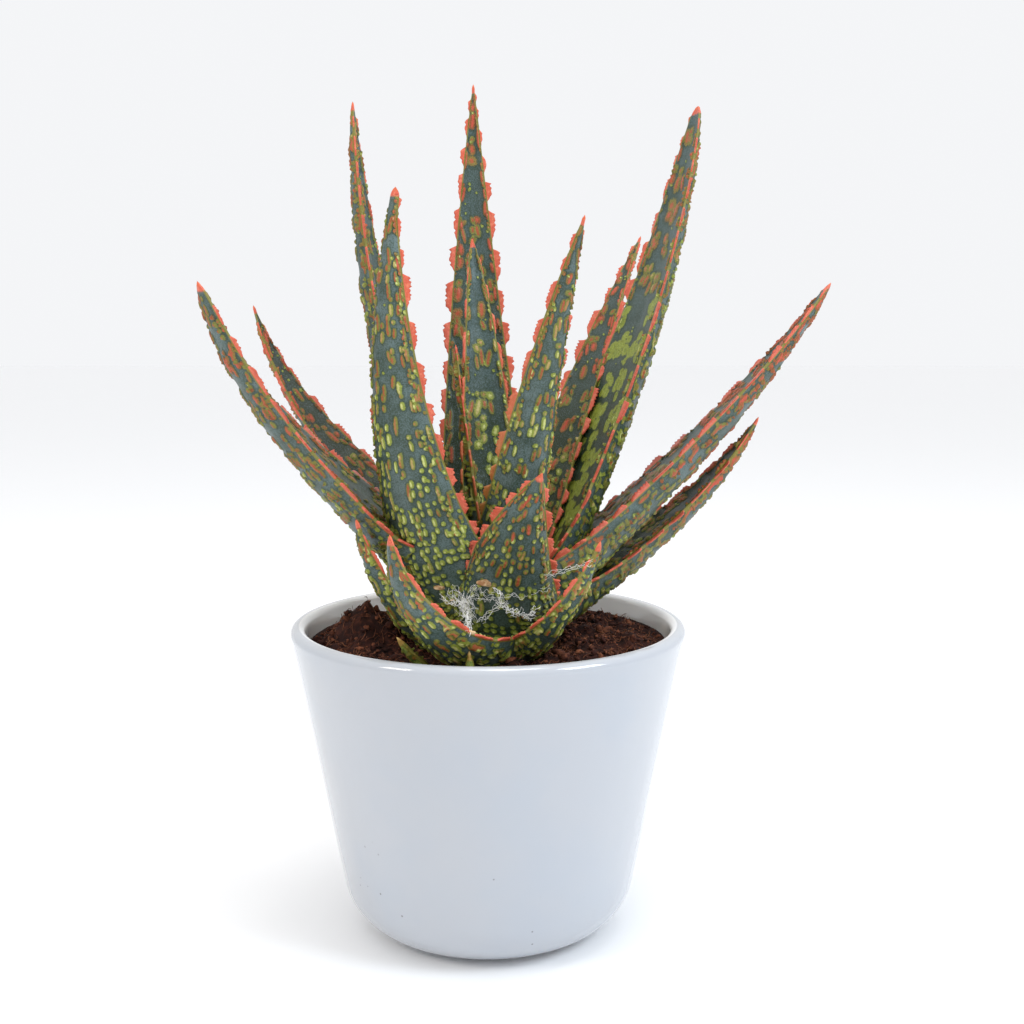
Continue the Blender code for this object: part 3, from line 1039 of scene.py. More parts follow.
@dataclass
class Blade:
    """Builds the fine surface of one leaf, in place of its solid."""

    form: LeafForm
    seed: int
    steps: int = 240
    edge_thickness: float = 1.1
    edge_thinning: float = 0.45
    shoulder: float = 1.05
    belly_taper: float = 0.7
    belly_roundness: float = 2.2
    roll_reach: float = 0.25
    sheath_length: float = 32.0
    clasp_length: float = 42.0
    clasp_angle: float = 72.0
    clasp_width: float = 27.0
    clasp_fade: float = 1.5
    blunt_reach: float = 1.6
    tip_point: float = 0.7
    lobe_height: float = 2.9
    lobe_spread: Range = (0.7, 1.06)
    root_lobe: Range = (3.6, 5.6)
    long_lobe: Range = (7.5, 12.0)
    long_lobe_place: float = 80.0
    lobe_start: Range = (0.0, 2.0)
    lobe_end: float = 2.5
    lobe_gap: Range = (0.6, 2.0)
    lobe_slope: Range = (0.22, 0.5)
    lobe_bulge: Range = (0.6, 1.0)
    lobe_lean: float = 0.18
    lobe_step: float = 0.5
    lobe_tilt: Range = (-0.25, 0.3)
    notches: tuple[int, int] = (0, 3)
    notch_depth: float = 0.2
    lobe_shares: tuple[float, ...] = (0.35, 0.7, 0.93)
    lobe_profile: tuple[float, ...] = (0.95, 0.85, 0.6)
    small_from: float = 0.7
    jag_pitch: float = 1.3
    jag: float = 0.36
    seam_height: float = 0.12
    swells: tuple[Range, ...] = ((23.0, 0.16), (11.0, 0.1), (6.0, 0.05))
    trim_reach: float = 75.0
    trim_share: float = 0.72
    trim_window: int = 2
    trim_majority: float = 0.55
    lap: float = 1.0
    lap_below: float = 0.6
    lap_reach: float = 12.0
    texture_step: float = 37.0
    lower_texture: float = 60.0

    def __post_init__(self) -> None:
        """Works out the midline and the counts of rings and columns."""
        self.chance = np.random.default_rng(self.seed)
        form = self.form
        step = form.grain
        self.shares = np.linspace(0, 1, max(12, round(form.length / step)) + 1)
        self.along = self.shares * form.length
        self.fractions = np.linspace(-1, 1, max(8, round(form.width / step)) + 1)
        self.margin_columns = 2 * len(self.lobe_shares) + 1
        self.trace_midline()

    def trace_midline(self) -> None:
        """Walks from root to tip in small steps, as the heading and the rise change."""
        form = self.form
        share = np.arange(self.steps + 1) / self.steps
        heading = np.radians(form.heading + form.sweep * share)
        rise = np.radians(form.root_rise + (form.tip_rise - form.root_rise) * share**form.bend)
        level = np.cos(rise)
        forward = np.stack([level * np.cos(heading), level * np.sin(heading), np.sin(rise)], axis=1)
        root = math.radians(form.heading)
        start = [STEM_X + form.root_out * math.cos(root), form.root_out * math.sin(root), form.root_up]
        middle = start + np.vstack([np.zeros(3), np.cumsum(forward[:-1], axis=0)]) * form.length / self.steps
        side = np.stack([-np.sin(heading), np.cos(heading), np.zeros_like(heading)], axis=1)
        upper = np.cross(forward, side)
        roll = (math.radians(form.roll) * np.minimum(1.0, share / self.roll_reach))[:, None]
        rolled_side = side * np.cos(roll) + upper * np.sin(roll)
        rolled_upper = upper * np.cos(roll) - side * np.sin(roll)
        self.middle, self.side, self.upper = (
            np.stack([np.interp(self.shares, share, rows[:, axis]) for axis in range(3)], axis=1)
            for rows in (middle, rolled_side, rolled_upper))
        self.forward = forward[-1]

    def near_root(self, reach: float) -> np.ndarray:
        """1 at the root, falling to 0 at the given distance along the leaf."""
        return np.maximum(0.0, 1 - self.along / reach)

    def lobes(self) -> tuple[np.ndarray, np.ndarray]:
        """The lobes of one margin.

        Returns:
            How far the margin stands out at each ring, and how much its lobe tilts.
        """
        uniform = self.chance.uniform
        height = np.full(len(self.along), self.seam_height)
        tilt = np.zeros(len(self.along))
        place, limit = uniform(*self.lobe_start), self.form.length - self.lobe_end
        while place < limit:
            far = min(1.0, place / self.long_lobe_place)
            near_tip = max(0.0, (place / self.form.length - self.small_from) / (1 - self.small_from))
            spans = (between(ends, far) for ends in zip(self.root_lobe, self.long_lobe))
            span = uniform(*spans) * (1 - 0.6 * near_tip)
            tall = self.lobe_height * self.form.lobe * (1 - 0.72 * near_tip**1.1)
            tall *= uniform(*self.lobe_spread)
            inside = (self.along > place) & (self.along < min(place + span, limit))
            outline = self.lobe_outline(self.along[inside], place, span)
            height[inside] = np.maximum(height[inside], tall * outline)
            tilt[inside] = uniform(*self.lobe_tilt)
            place += span + uniform(*self.lobe_gap) * (1 + far)
        return height, tilt

    def lobe_outline(self, along: np.ndarray, start: float, span: float) -> np.ndarray:
        """The outline of one lobe: a slope towards the root, teeth, and a step at its end towards the tip.

        Args:
            along: The distances from the root to give it at.
            start: Where the lobe starts.
            span: How long it is.

        Returns:
            Its height there, as a share of its full height.
        """
        uniform = self.chance.uniform
        x = (along - start) / span
        rise = np.minimum(1.0, x / uniform(*self.lobe_slope)) ** uniform(*self.lobe_bulge)
        step = np.minimum(1.0, (1 - x) * span / self.lobe_step)
        lean = 1 - self.lobe_lean + self.lobe_lean * x
        notches = int(self.chance.integers(*self.notches))
        scallop = np.abs(np.cos(math.pi * (x * (notches + 1)))) if notches else np.zeros_like(x)
        teeth = np.abs(((along / self.jag_pitch + uniform(0, 1)) % 1.0) - 0.5) * 2
        return rise * step * lean * (1 - self.notch_depth * scallop**4) * (1 - self.jag * teeth**2)

    def margin(self, side: int, half: np.ndarray, edge: np.ndarray) -> Strip:
        """The lobed margin on one side, from the upper face round its rim to the lower face.

        Args:
            side: -1 for the left margin, 1 for the right one.
            half: Half the leaf's width at each ring.
            edge: Half the thickness of its edge.

        Returns:
            Its strip.
        """
        height, tilt = self.lobes()
        out = height[:, None] * np.array([*self.lobe_shares, 1.0, *self.lobe_shares[::-1]])
        profile = np.array([*self.lobe_profile, 0.0, *(-value for value in self.lobe_profile[::-1])])
        up = edge[:, None] * profile + tilt[:, None] * out
        marks = np.stack([np.full(out.shape, Marking.far_off), np.zeros(out.shape), out], axis=-1)
        laid = side * (half[:, None] + out)
        return Strip(side * (1 + out / half[:, None]), up, marks, np.full(out.shape, 0.5), laid)

    def undulation(self, flat: np.ndarray) -> np.ndarray:
        """Shallow, broad unevenness of the blade's faces.

        Args:
            flat: The distance of each point from the leaf's middle.

        Returns:
            How far each point is raised.
        """
        waves = np.zeros(flat.shape)
        for length, tall in self.swells:
            turn = self.chance.uniform(0, math.tau, 2)
            tilt = self.chance.uniform(-0.5, 0.5)
            along = self.along[:, None] / length + tilt * flat / length
            waves += tall * np.sin(math.tau * along + turn[0])
            waves += tall * 0.6 * np.sin(math.tau * flat / (length * 0.8) + turn[1])
        return waves

    def half_width(self) -> np.ndarray:
        """Works out how wide the leaf is.

        Returns:
            Half its width at each ring, without its lobes.
        """
        form = self.form
        half = 0.5 * form.width * np.minimum(1.0, self.shoulder * (1 - self.shares) ** form.taper)
        half = half * (1 + form.sheath * self.near_root(self.sheath_length))
        rounding = np.clip((form.length - self.along) / (form.blunt * self.blunt_reach), 0.06, 1)
        return np.maximum(half, form.blunt) * np.sqrt(1 - (1 - rounding) ** 2)

    def faces(self, half: np.ndarray, edge: np.ndarray) -> tuple[Strip, Strip]:
        """The upper and the lower face, with their marks.

        Args:
            half: Half the leaf's width at each ring.
            edge: Half the thickness of its edge.

        Returns:
            The two strips, both from the left margin to the right one.
        """
        fractions = self.fractions
        belly = (self.form.thickness * (1 - self.shares) ** self.belly_taper)[:, None]
        depth = 1 - np.abs(fractions) ** self.belly_roundness
        pace = np.hypot(half[:, None] * np.gradient(fractions), np.gradient(belly * depth, axis=1))
        arc_across = np.cumsum(pace, axis=1)
        arc_across -= (arc_across[:, :1] + arc_across[:, -1:]) / 2
        flat = half[:, None] * fractions
        measured = [
            Marking(self.form, face, self.chance).raise_on(self.along, across)
            for face, across in ((Face.UPPER, flat), (Face.LOWER, arc_across))]
        swell = self.undulation(flat)
        fade = np.clip((1 - np.abs(fractions)) * 9, 0, 1) * np.clip((1 - self.shares) * 14, 0, 1)[:, None]
        strips = []
        for (nearest, redness, raised), across, inner in zip(measured, (flat, arc_across), (1.0, 0.0)):
            marks = np.stack([nearest, redness, np.abs(across) - across.max(axis=1)[:, None]], axis=-1)
            height = edge[:, None] + (raised + swell) * fade
            up = height if inner else -height - belly * depth
            laid = across + (0 if inner else self.lower_texture)
            places = np.broadcast_to(fractions, flat.shape)
            strips.append(Strip(places, up, marks, np.full(flat.shape, inner), laid))
        return tuple(strips)

    def surface(self) -> tuple[np.ndarray, dict[str, np.ndarray]]:
        """Works out every point of the blade.

        Returns:
            The points as rings from root to tip, and the values that the skin reads.
        """
        form = self.form
        half = self.half_width()
        edge = self.edge_thickness / 2 * (1 - self.edge_thinning * self.shares)
        above, below = self.faces(half, edge)
        strips = [self.margin(-1, half, edge).turned_round(), above, self.margin(1, half, edge),
                  below.turned_round()]
        across, up, marks, inner, laid = (np.concatenate(rows, axis=1) for rows in zip(*strips))
        clasp = max(form.fold, self.clasp_angle * min(1.0, form.width / self.clasp_width))
        clasped = self.near_root(self.clasp_length) ** self.clasp_fade
        curl = np.radians(form.fold + (clasp - form.fold) * clasped)[:, None]
        radius = half[:, None] / curl
        x = ((radius - up) * np.sin(curl * across))[..., None]
        y = (radius - (radius - up) * np.cos(curl * across))[..., None]
        points = self.middle[:, None] + self.side[:, None] * x + self.upper[:, None] * y
        share = np.broadcast_to(self.shares[:, None], across.shape)
        to_tip = np.broadcast_to(form.length - self.along[:, None], across.shape)
        return points, {
            "marks": marks,
            "place": np.stack([share, inner, np.clip(form.olive * (1.35 - 2.0 * share), 0, 1)], axis=-1),
            "skin": np.stack([to_tip, laid, np.full(across.shape, self.texture_step * self.seed)], axis=-1),
            # Each point's darkening towards brown: partly the leaf's own brown, partly painted shade.
            "brown_and_shade": np.full((*across.shape, 3), form.brown),
        }

    def lapped(self, points: np.ndarray, inner: np.ndarray) -> np.ndarray:
        """Moves the points that would lie inside the leaf that this one clasps out over its surface.

        Args:
            points: The blade's rings of points, which are changed.
            inner: Each point's share of the upper face.

        Returns:
            Whether each point was moved.
        """
        moved = np.zeros(inner.shape, bool)
        if not self.form.clasps:
            return moved
        clasped = bpy.data.objects[self.form.clasps].data
        corners = [vertex.co for vertex in clasped.vertices]
        tree = BVHTree.FromPolygons(corners, [face.vertices for face in clasped.polygons])
        heading = math.radians(self.form.heading)
        outward = Vector((math.cos(heading), math.sin(heading), 0.0))
        for spot in np.ndindex(moved.shape):
            lift = (self.lap + self.lap_below * (1 - inner[spot])) * MM
            start = Vector(points[spot]) * MM + outward * self.lap_reach * MM
            seat = tree.ray_cast(start, -outward, self.lap_reach * MM + lift)[0]
            if seat is not None:
                points[spot] = (seat + outward * lift) / MM
                moved[spot] = True
        return moved

    def near_solid(self, points: np.ndarray) -> np.ndarray:
        """Finds the points near the solid, which was cut clear of the leaves inside it.

        Args:
            points: The blade's rings of points.

        Returns:
            Whether each point is near it, or is so far up the leaf, or on a margin, that it isn't asked.
        """
        solid = bpy.data.objects[self.form.name]
        tree = BVHTree.FromObject(solid, bpy.context.evaluated_depsgraph_get())
        near = np.ones(points.shape[:2], bool)
        margin, blade = self.margin_columns, len(self.fractions)
        on_faces = [*range(margin, margin + blade), *range(2 * margin + blade, points.shape[1])]
        trimmed = min(self.trim_reach, self.trim_share * self.form.length)
        for ring in np.flatnonzero(self.along < trimmed):
            for column in on_faces:
                found = tree.find_nearest(Vector(points[ring, column]) * MM, self.form.trim * MM)[0]
                near[ring, column] = found is not None
        return near

    def kept(self, near: np.ndarray) -> np.ndarray:
        """Closes small holes among the points to keep, and drops what is cut off from the tip.

        Args:
            near: Whether each point is near the solid, or was moved out over the leaf that this one clasps.

        Returns:
            Whether each point stays.
        """
        reach = range(-self.trim_window, self.trim_window + 1)
        around = np.mean([np.roll(near, (up, out), (0, 1)) for up in reach for out in reach], axis=0)
        near = near | (around > self.trim_majority)
        margin = self.margin_columns
        right = margin + len(self.fractions)
        end = right + margin
        near[:, :margin] = near[:, margin:margin + 1] & near[:, -1:]
        near[:, right:end] = near[:, right - 1:right] & near[:, end:end + 1]
        reached = np.zeros_like(near)
        reached[-1] = near[-1]
        while True:
            spread = reached | np.roll(reached, 1, axis=1) | np.roll(reached, -1, axis=1)
            spread[1:] |= reached[:-1]
            spread[:-1] |= reached[1:]
            spread &= near
            if (spread == reached).all():
                return reached
            reached = spread

    def build(self, material: bpy.types.Material, slot: str) -> bpy.types.Object:
        """Makes the leaf's piece, which stands for its solid.

        Args:
            material: The leaf's finish.
            slot: The record's material slot.

        Returns:
            The object.
        """
        points, values = self.surface()
        rings, columns = points.shape[:2]
        moved = self.lapped(points, values["place"][..., 1])
        stays = np.append(self.kept(self.near_solid(points) | moved), True)
        flat = points.reshape(-1, 3)
        flat = np.vstack([flat, flat[-columns:].mean(axis=0) + self.forward * self.tip_point])
        quads = grid_faces(rings, columns)
        quads = quads[stays[quads].all(axis=1)]
        last_ring = (rings - 1) * columns + np.arange(columns)
        cap = np.stack([last_ring, np.roll(last_ring, -1), np.full(columns, rings * columns)], axis=1)
        used = np.unique(np.concatenate([quads.ravel(), cap.ravel()]))
        renumber = np.zeros(len(flat), int)
        renumber[used] = np.arange(len(used))
        stored = {name: rows.reshape(-1, 3) for name, rows in values.items()}
        stored = {name: np.vstack([rows, rows[-1:]])[used] for name, rows in stored.items()}
        draft = Draft()
        draft.add(flat[used], [renumber[quads], renumber[cap]], **stored)
        return draft.piece(self.form.name + "_skin", material, slot, self.form.name)


@dataclass
class Rosette:
    """The leaves, from the heart outwards, and the offsets beside them."""

    leaves: tuple[LeafForm, ...] = (
        LeafForm("leaf_heart", 151, 0, 1, 115.5, 78, 81, 1.0, 80, 16, 4.5, fold=40,
                 rust=0.2, lobe=0.42, olive=0.5),
        LeafForm("leaf_heart_back", 118, 1, 3, 113, 86, 80, 0.9, 117, 25, 5.5, taper=0.7, roll=-10, fold=25,
                 rust=0.15, lobe=0.5, olive=0.45),
        LeafForm("leaf_front_right", 294, 2, 5, 112, 77.5, 58, 0.6, 132, 26, 8.0, roll=3,
                 rust=0.2, lobe=0.85, olive=0.95, grain=0.54),
        LeafForm("leaf_back_tall", 103, -7, 5, 112, 59.5, 91, 0.8, 178, 34.5, 8.0, roll=-12,
                 rust=0.6, marked=0.75, grain=0.76, brown=0.25),
        LeafForm("leaf_left_tall", 162, 4, 6, 110, 62, 87, 0.9, 170, 28, 9.5, taper=0.75, roll=4,
                 rust=0.35, marked=0.65, grain=0.7, brown=0.2),
        LeafForm("leaf_right_rear", 51, 3, 6, 110, 61.5, 52, 1.1, 147, 23.5, 6.5, taper=0.85, roll=3,
                 rust=0.65, grain=0.66, brown=0.5),
        LeafForm("leaf_left_rear", 148, 16, 8, 112, 36.5, 72, 2.25, 132, 28, 8.0, taper=0.95, roll=-18,
                 rust=0.65, lobe=0.8, brown=0.9),
        LeafForm("leaf_front_left", 216, 1, 12, 108, 48.5, 97.5, 0.6, 140, 41, 9.0, taper=0.95, roll=17,
                 rust=0.22, blunt=1.6, grain=0.5),
        LeafForm("leaf_right_tall", 33, -7, 7, 108, 57.5, 78.5, 1.35, 184, 36, 11.0, taper=0.45, roll=-7,
                 rust=0.2, lobe=1.25, blotch=1.6, blunt=3.6, grain=0.6),
        LeafForm("leaf_back_right_low", 55, 0, 8, 104, 42, 62, 1.0, 90, 27, 7.5, rust=0.5, grain=0.9),
        LeafForm("leaf_right_long", 17, -8, 8, 110, 38.5, 55, 2.05, 152, 36.5, 10.0, taper=0.45, roll=-11,
                 rust=0.85, lobe=1.45, blunt=0.8, grain=0.66),
        LeafForm("leaf_left_long", 186, 35, 10, 113, 42, 68.5, 2.6, 134, 36.5, 10.5, taper=0.45, roll=-15,
                 rust=0.5, lobe=1.2, blunt=1.3),
        LeafForm("leaf_back_left_low", 122, 0, 9, 104, 38, 60, 1.0, 86, 27, 7.5, rust=0.5, grain=0.9),
        LeafForm("leaf_front_short", 277, 20, 10, 102, 59, 47.5, 1.0, 70, 39, 9.0, taper=0.85, roll=-24,
                 rust=0.3, grain=0.46, brown=0.15, clasps="leaf_front_left"),
        LeafForm("leaf_back_low", 86, 0, 10, 101, 30, 56, 1.0, 82, 27, 7.5, rust=0.5, grain=0.9),
        LeafForm("leaf_right_low", 23, -17, 10, 105, 25.5, 56.5, 1.6, 107, 23.5, 10.0, taper=0.85, roll=9,
                 rust=0.6, lobe=0.85, brown=0.8),
        LeafForm("leaf_front_left_low", 265, -70, 10, 98, 2.5, 86.5, 1.45, 79, 30.5, 8.5, taper=0.55, roll=4,
                 sheath=0.3, rust=0.15, lobe=0.75, blunt=1.8, grain=0.5, trim=2.6),
        LeafForm("leaf_front_right_low", 286, 41, 10, 96, 10.5, 66.5, 0.95, 69, 22.5, 6.5, taper=0.8, roll=13,
                 sheath=0.3, rust=0.1, lobe=0.7, blunt=1.0, grain=0.5),
        LeafForm("leaf_left_low", 207, 6, 10, 94, 8, 74, 0.6, 64, 25, 5.5, sheath=0.3,
                 rust=0.1, lobe=0.7, blunt=1.0, trim=3.2),
    )
    offsets: tuple[LeafForm, ...] = (
        LeafForm("sprout_left", 240, -50, 33, 88, 45, 48, 1.0, 25, 7, 3.0, sheath=0.0,
                 rust=0.1, lobe=0.15, marked=0.4, grain=0.4),
        LeafForm("sprout_front", 261, 0, 46, 91, 70, 76, 1.0, 14, 6, 2.6, sheath=0.0,
                 rust=0.1, lobe=0.15, marked=0.3, grain=0.4),
    )
    skin: LeafSkin = LeafSkin()
    young_skin: LeafSkin = LeafSkin(
        name="young_skin", under=paint(128, 146, 62), under_bloom=paint(150, 164, 84),
        upper=paint(96, 118, 48), base_green=paint(150, 156, 78), wart_pale=paint(196, 200, 120),
        coral=paint(176, 140, 70), coral_light=paint(196, 164, 96), tip=paint(196, 162, 96))

    def build(self) -> list[bpy.types.Object]:
        """Makes every leaf and offset.

        Returns:
            Their pieces.
        """
        made = []
        groups = (self.leaves, self.skin, "leaf"), (self.offsets, self.young_skin, "sprout")
        for group, skin, slot in groups:
            material = skin.material()
            for form in group:
                made.append(Blade(form, seed=len(made)).build(material, slot))
        return made


@dataclass
class Pot:
    """The glazed pot: a tapered wall, a round lip, a full round corner and a flat foot."""

    height: float = 103.5
    rim_radius: float = 66.0
    foot_radius: float = 45.8
    wall: float = 5.2
    floor: float = 7.0
    corner: float = 20.0
    inner_corner: float = 12.0
    bare_ring: Range = (23.0, 28.5)
    foot_middle: float = 14.0
    turns: int = 144
    axis_radius: float = 0.02
    glaze: Glaze = Glaze()

    @property
    def slope(self) -> float:
        """The angle of the wall from the vertical."""
        return math.atan2(self.rim_radius - self.foot_radius, self.height)

    def outside(self, z: float) -> float:
        """The radius of the outer wall at a height."""
        return self.foot_radius + (self.rim_radius - self.foot_radius) * z / self.height

    def inside(self, z: float) -> float:
        """The radius of the cavity at a height."""
        return self.outside(z) - self.wall / math.cos(self.slope)

    def inner_corner_centre(self) -> tuple[float, float]:
        """The centre of the cavity's rounded corner, from the axis and up."""
        z = self.floor + self.inner_corner
        return self.inside(z) - self.inner_corner / math.cos(self.slope), z

    def profile(self) -> np.ndarray:
        """The outline from the cavity's floor, over the lip, to the middle of the foot.

        Returns:
            Its radii and heights, one row each.
        """
        slope, lip = self.slope, self.wall / 2
        lip_centre = (self.outside(self.height - lip) - lip / math.cos(slope), self.height - lip)
        corner_centre = (self.outside(self.corner) - self.corner / math.cos(slope), self.corner)
        line = [(self.axis_radius, self.floor)]
        line += arc(self.inner_corner_centre(), self.inner_corner, -math.pi / 2, -slope, 10)
        line += arc(lip_centre, lip, math.pi - slope, -slope, 16)
        wall_foot = self.corner * (1 + math.sin(slope))
        line += [(self.outside(z), z) for z in np.linspace(line[-1][1], wall_foot, 14)[1:-1]]
        line += arc(corner_centre, self.corner, -slope, -math.pi / 2, 20)
        inner, outer = self.bare_ring
        foot = (outer, (outer + inner) / 2, inner, self.foot_middle, self.axis_radius)
        line += [(radius, 0.0) for radius in foot]
        return np.array(line)

    def build(self) -> bpy.types.Object:
        """Makes the pot's piece, which stands for its solid.

        Returns:
            The object.
        """
        line = self.profile()
        radii, heights = line.T
        lip, (inner, outer) = self.wall / 2, self.bare_ring
        thin = np.clip((heights - self.height + lip) / lip, 0, 1) ** 2
        bare = (heights < 0.01) & (radii > inner - 0.1) & (radii < outer + 0.1)
        coating = np.stack([thin, bare, heights * MM], axis=-1)
        # The cavity's faces, which take the lighter inside glaze as painted light.
        within = np.zeros(coating.shape)
        within[:np.argmax(heights), 0] = 1.0
        coating, within = (np.repeat(rows, self.turns, axis=0) for rows in (coating, within))
        draft = Draft()
        faces = [grid_faces(len(line), self.turns)]
        draft.add(turned(line, self.turns), faces, coating=coating, within=within)
        return draft.piece("pot_glazed", self.glaze.material(), "glaze", "pot")


@dataclass
class Soil:
    """The potting mix: a lumpy bed that fills the pot, with crumbs and coir fibres on it."""

    pot: Pot
    level: float = 97.0
    dip: float = 5.0
    dip_radius: float = 34.0
    lump: float = 3.2
    lump_spacing: float = 13.0
    coarse_grain: Range = (1.2, 3.1)
    fine_grain: Range = (0.8, 1.3)
    edge_fade: float = 9.0
    gap: float = 0.3
    heap_place: tuple[float, float] = (-38.0, -4.0)
    heap_reach: float = 20.0
    heap_height: float = 11.0
    rings: int = 72
    turns: int = 240
    bed_tone: float = 0.4
    crumbs: int = 2600
    crumb_size: Range = (0.4, 1.65)
    coarse_crumb: float = 0.95
    fibres: int = 2400
    fibre_length: Range = (1.2, 5.0)
    fibre_radius: Range = (0.08, 0.2)
    fibre_bow: float = 2.2
    seed: int = 11
    bed_mix: PottingMix = PottingMix(
        "soil_bed", dark=paint(14, 6, 5), middle=paint(44, 20, 15), light=paint(96, 52, 36))
    crumb_mix: PottingMix = PottingMix(
        "soil_crumbs", dark=paint(18, 8, 6), middle=paint(62, 30, 22), light=paint(138, 84, 58))
    fibre_mix: PottingMix = PottingMix(
        "soil_fibres", dark=paint(44, 22, 16), middle=paint(98, 54, 38), light=paint(160, 108, 76))

    def __post_init__(self) -> None:
        """Seeds the scattering."""
        self.chance = np.random.default_rng(self.seed)

    @property
    def radius(self) -> float:
        """The bed's radius at its top."""
        return self.pot.inside(self.level) - self.gap / math.cos(self.pot.slope)

    def surface(self, x: float, y: float) -> float:
        """The height of the bed: a dip round the stem, lumps, a heap on the left and a finer crumb.

        Args:
            x: The place to the right.
            y: The place to the back.

        Returns:
            The height there.
        """
        to_wall = self.pot.inside(self.level) - math.hypot(x, y)
        fade = min(1.0, max(0.0, to_wall / self.edge_fade))
        dip = self.dip * max(0.0, 1 - math.hypot(x - STEM_X, y) / self.dip_radius)
        where = Vector((x, y, 0)) / self.lump_spacing
        lump = noise.noise(where) + 0.5 * noise.noise(where * 2.3 + Vector((7, 3, 1)))
        crumb = sum(tall * noise.noise(Vector((x, y, layer)) / spacing)
                    for (tall, spacing), layer in ((self.coarse_grain, 5), (self.fine_grain, 9)))
        away = min(1.0, math.hypot(x - self.heap_place[0], y - self.heap_place[1]) / self.heap_reach)
        heap = self.heap_height * (0.5 + 0.5 * math.cos(math.pi * away)) * (1 + 0.5 * lump)
        low = self.level - dip + self.lump * lump * fade
        return low + heap * min(1.0, fade * 1.6) + crumb * min(1.0, max(0.1, to_wall / 2))

    def build(self) -> list[bpy.types.Object]:
        """Makes the bed, which stands for the soil's solid, and what lies on it."""
        return [self.build_bed(), self.build_crumbs(), self.build_fibres()]

    def build_bed(self) -> bpy.types.Object:
        """Makes the bed, down to the pot's floor.

        Returns:
            The object.
        """
        pot = self.pot
        line = [(radius, self.level) for radius in np.linspace(pot.axis_radius, self.radius, self.rings)]
        line += arc(pot.inner_corner_centre(), pot.inner_corner - self.gap, -pot.slope, -math.pi / 2, 8)
        line.append((pot.axis_radius, pot.floor + self.gap))
        points = turned(np.array(line), self.turns)
        for ring in points.reshape(len(line), self.turns, 3)[:self.rings]:
            ring[:, 2] = [self.surface(x, y) for x, y, _ in ring]
        draft = Draft()
        draft.add(points, [grid_faces(len(line), self.turns, inward=True)],
                  tone=np.full(points.shape, self.bed_tone))
        return draft.piece("soil_bed", self.bed_mix.material(), "soil", "soil")

    def scatter(self, margin: float) -> tuple[float, float]:
        """Draws a place on the bed, no nearer to the wall than the margin.

        Args:
            margin: That margin.

        Returns:
            The place.
        """
        reach = (self.radius - margin) * math.sqrt(self.chance.uniform(0.03, 1))
        turn = self.chance.uniform(0, math.tau)
        return reach * math.cos(turn), reach * math.sin(turn)

    def build_crumbs(self) -> bpy.types.Object:
        """Makes the loose crumbs of peat.

        Returns:
            The object.
        """
        small, large = ball(1), ball(2)
        chance, draft = self.chance, Draft()
        for _ in range(self.crumbs):
            size = between(self.crumb_size, chance.power(0.4) * chance.uniform(0.2, 1))
            points, faces = large if size > self.coarse_crumb else small
            x, y = self.scatter(size + 0.6)
            shape = chance.uniform(0.55, 1.35, 3) * [1, 1, 0.8] * size
            rough = 1 + 0.6 * crumpled(points, chance, 2.6) + 0.4 * crumpled(points, chance, 7.0)
            body = points * rough[:, None] * shape + [x, y, self.surface(x, y) + 0.3 * size]
            draft.add(body, [faces], tone=np.full(body.shape, chance.uniform(0, 1)))
        return draft.piece("soil_crumbs", self.crumb_mix.material(), "soil", smooth=False)

    def build_fibres(self) -> bpy.types.Object:
        """Makes the coir fibres: thin and curved, lying on the bed or standing a little out of it.

        Returns:
            The object.
        """
        uniform, draft = self.chance.uniform, Draft()
        steps = np.linspace(-0.5, 0.5, 5)
        for _ in range(self.fibres):
            place = self.scatter(2.5)
            length = uniform(*self.fibre_length)
            angles = uniform(0, math.tau) + uniform(-self.fibre_bow, self.fibre_bow) * steps
            path = np.stack([np.cos(angles), np.sin(angles), np.zeros_like(angles)], axis=1)
            path = np.cumsum(path, axis=0) * length / len(steps)
            path -= path.mean(axis=0)
            path[:, :2] += place
            outside = np.hypot(path[:, 0], path[:, 1]) / (self.radius - 0.8)
            path[:, :2] /= np.maximum(1.0, outside)[:, None]
            lift = uniform(-1.2, 1.6) * (steps + 0.5) ** 1.5 + uniform(0.0, 0.9)
            path[:, 2] = [self.surface(x, y) for x, y in path[:, :2]] + lift
            radii = uniform(*self.fibre_radius) * (1 - np.abs(steps))
            points, faces = tube(path, radii)
            draft.add(points, faces, tone=np.full(points.shape, uniform(0, 1)))
        return draft.piece("soil_fibres", self.fibre_mix.material(), "soil")


@dataclass
class Stem:
    """The short stem that the leaves are rooted on, ringed with old leaf scars.

    The outline holds shares of the radius and heights, from the top down.
    """

    radius: float = 10.5
    turns: int = 60
    rings: int = 90
    scar_pitch: float = 3.1
    scar_depth: float = 0.035
    outline: tuple[tuple[float, float], ...] = (
        (0.02, 119.0), (0.3, 117.5), (0.55, 113.0), (0.85, 106.0), (1.0, 99.0), (1.0, 68.0), (0.7, 62.0),
        (0.02, 60.0))
    bark: StemBark = StemBark()

    def build(self) -> bpy.types.Object:
        """Makes the stem's piece, which stands for its solid.

        Returns:
            The object.
        """
        shares, heights = np.array(self.outline).T
        z = np.linspace(heights[0], heights[-1], self.rings)
        radii = np.interp(-z, -heights, shares) * self.radius
        radii *= 1 - self.scar_depth * np.abs(np.sin(z * math.pi / self.scar_pitch))
        draft = Draft()
        draft.add(turned(np.column_stack([radii, z]), self.turns) + [STEM_X, 0, 0],
                  [grid_faces(self.rings, self.turns, inward=True)])
        return draft.piece("stem_bark", self.bark.material(), "stem", "stem")


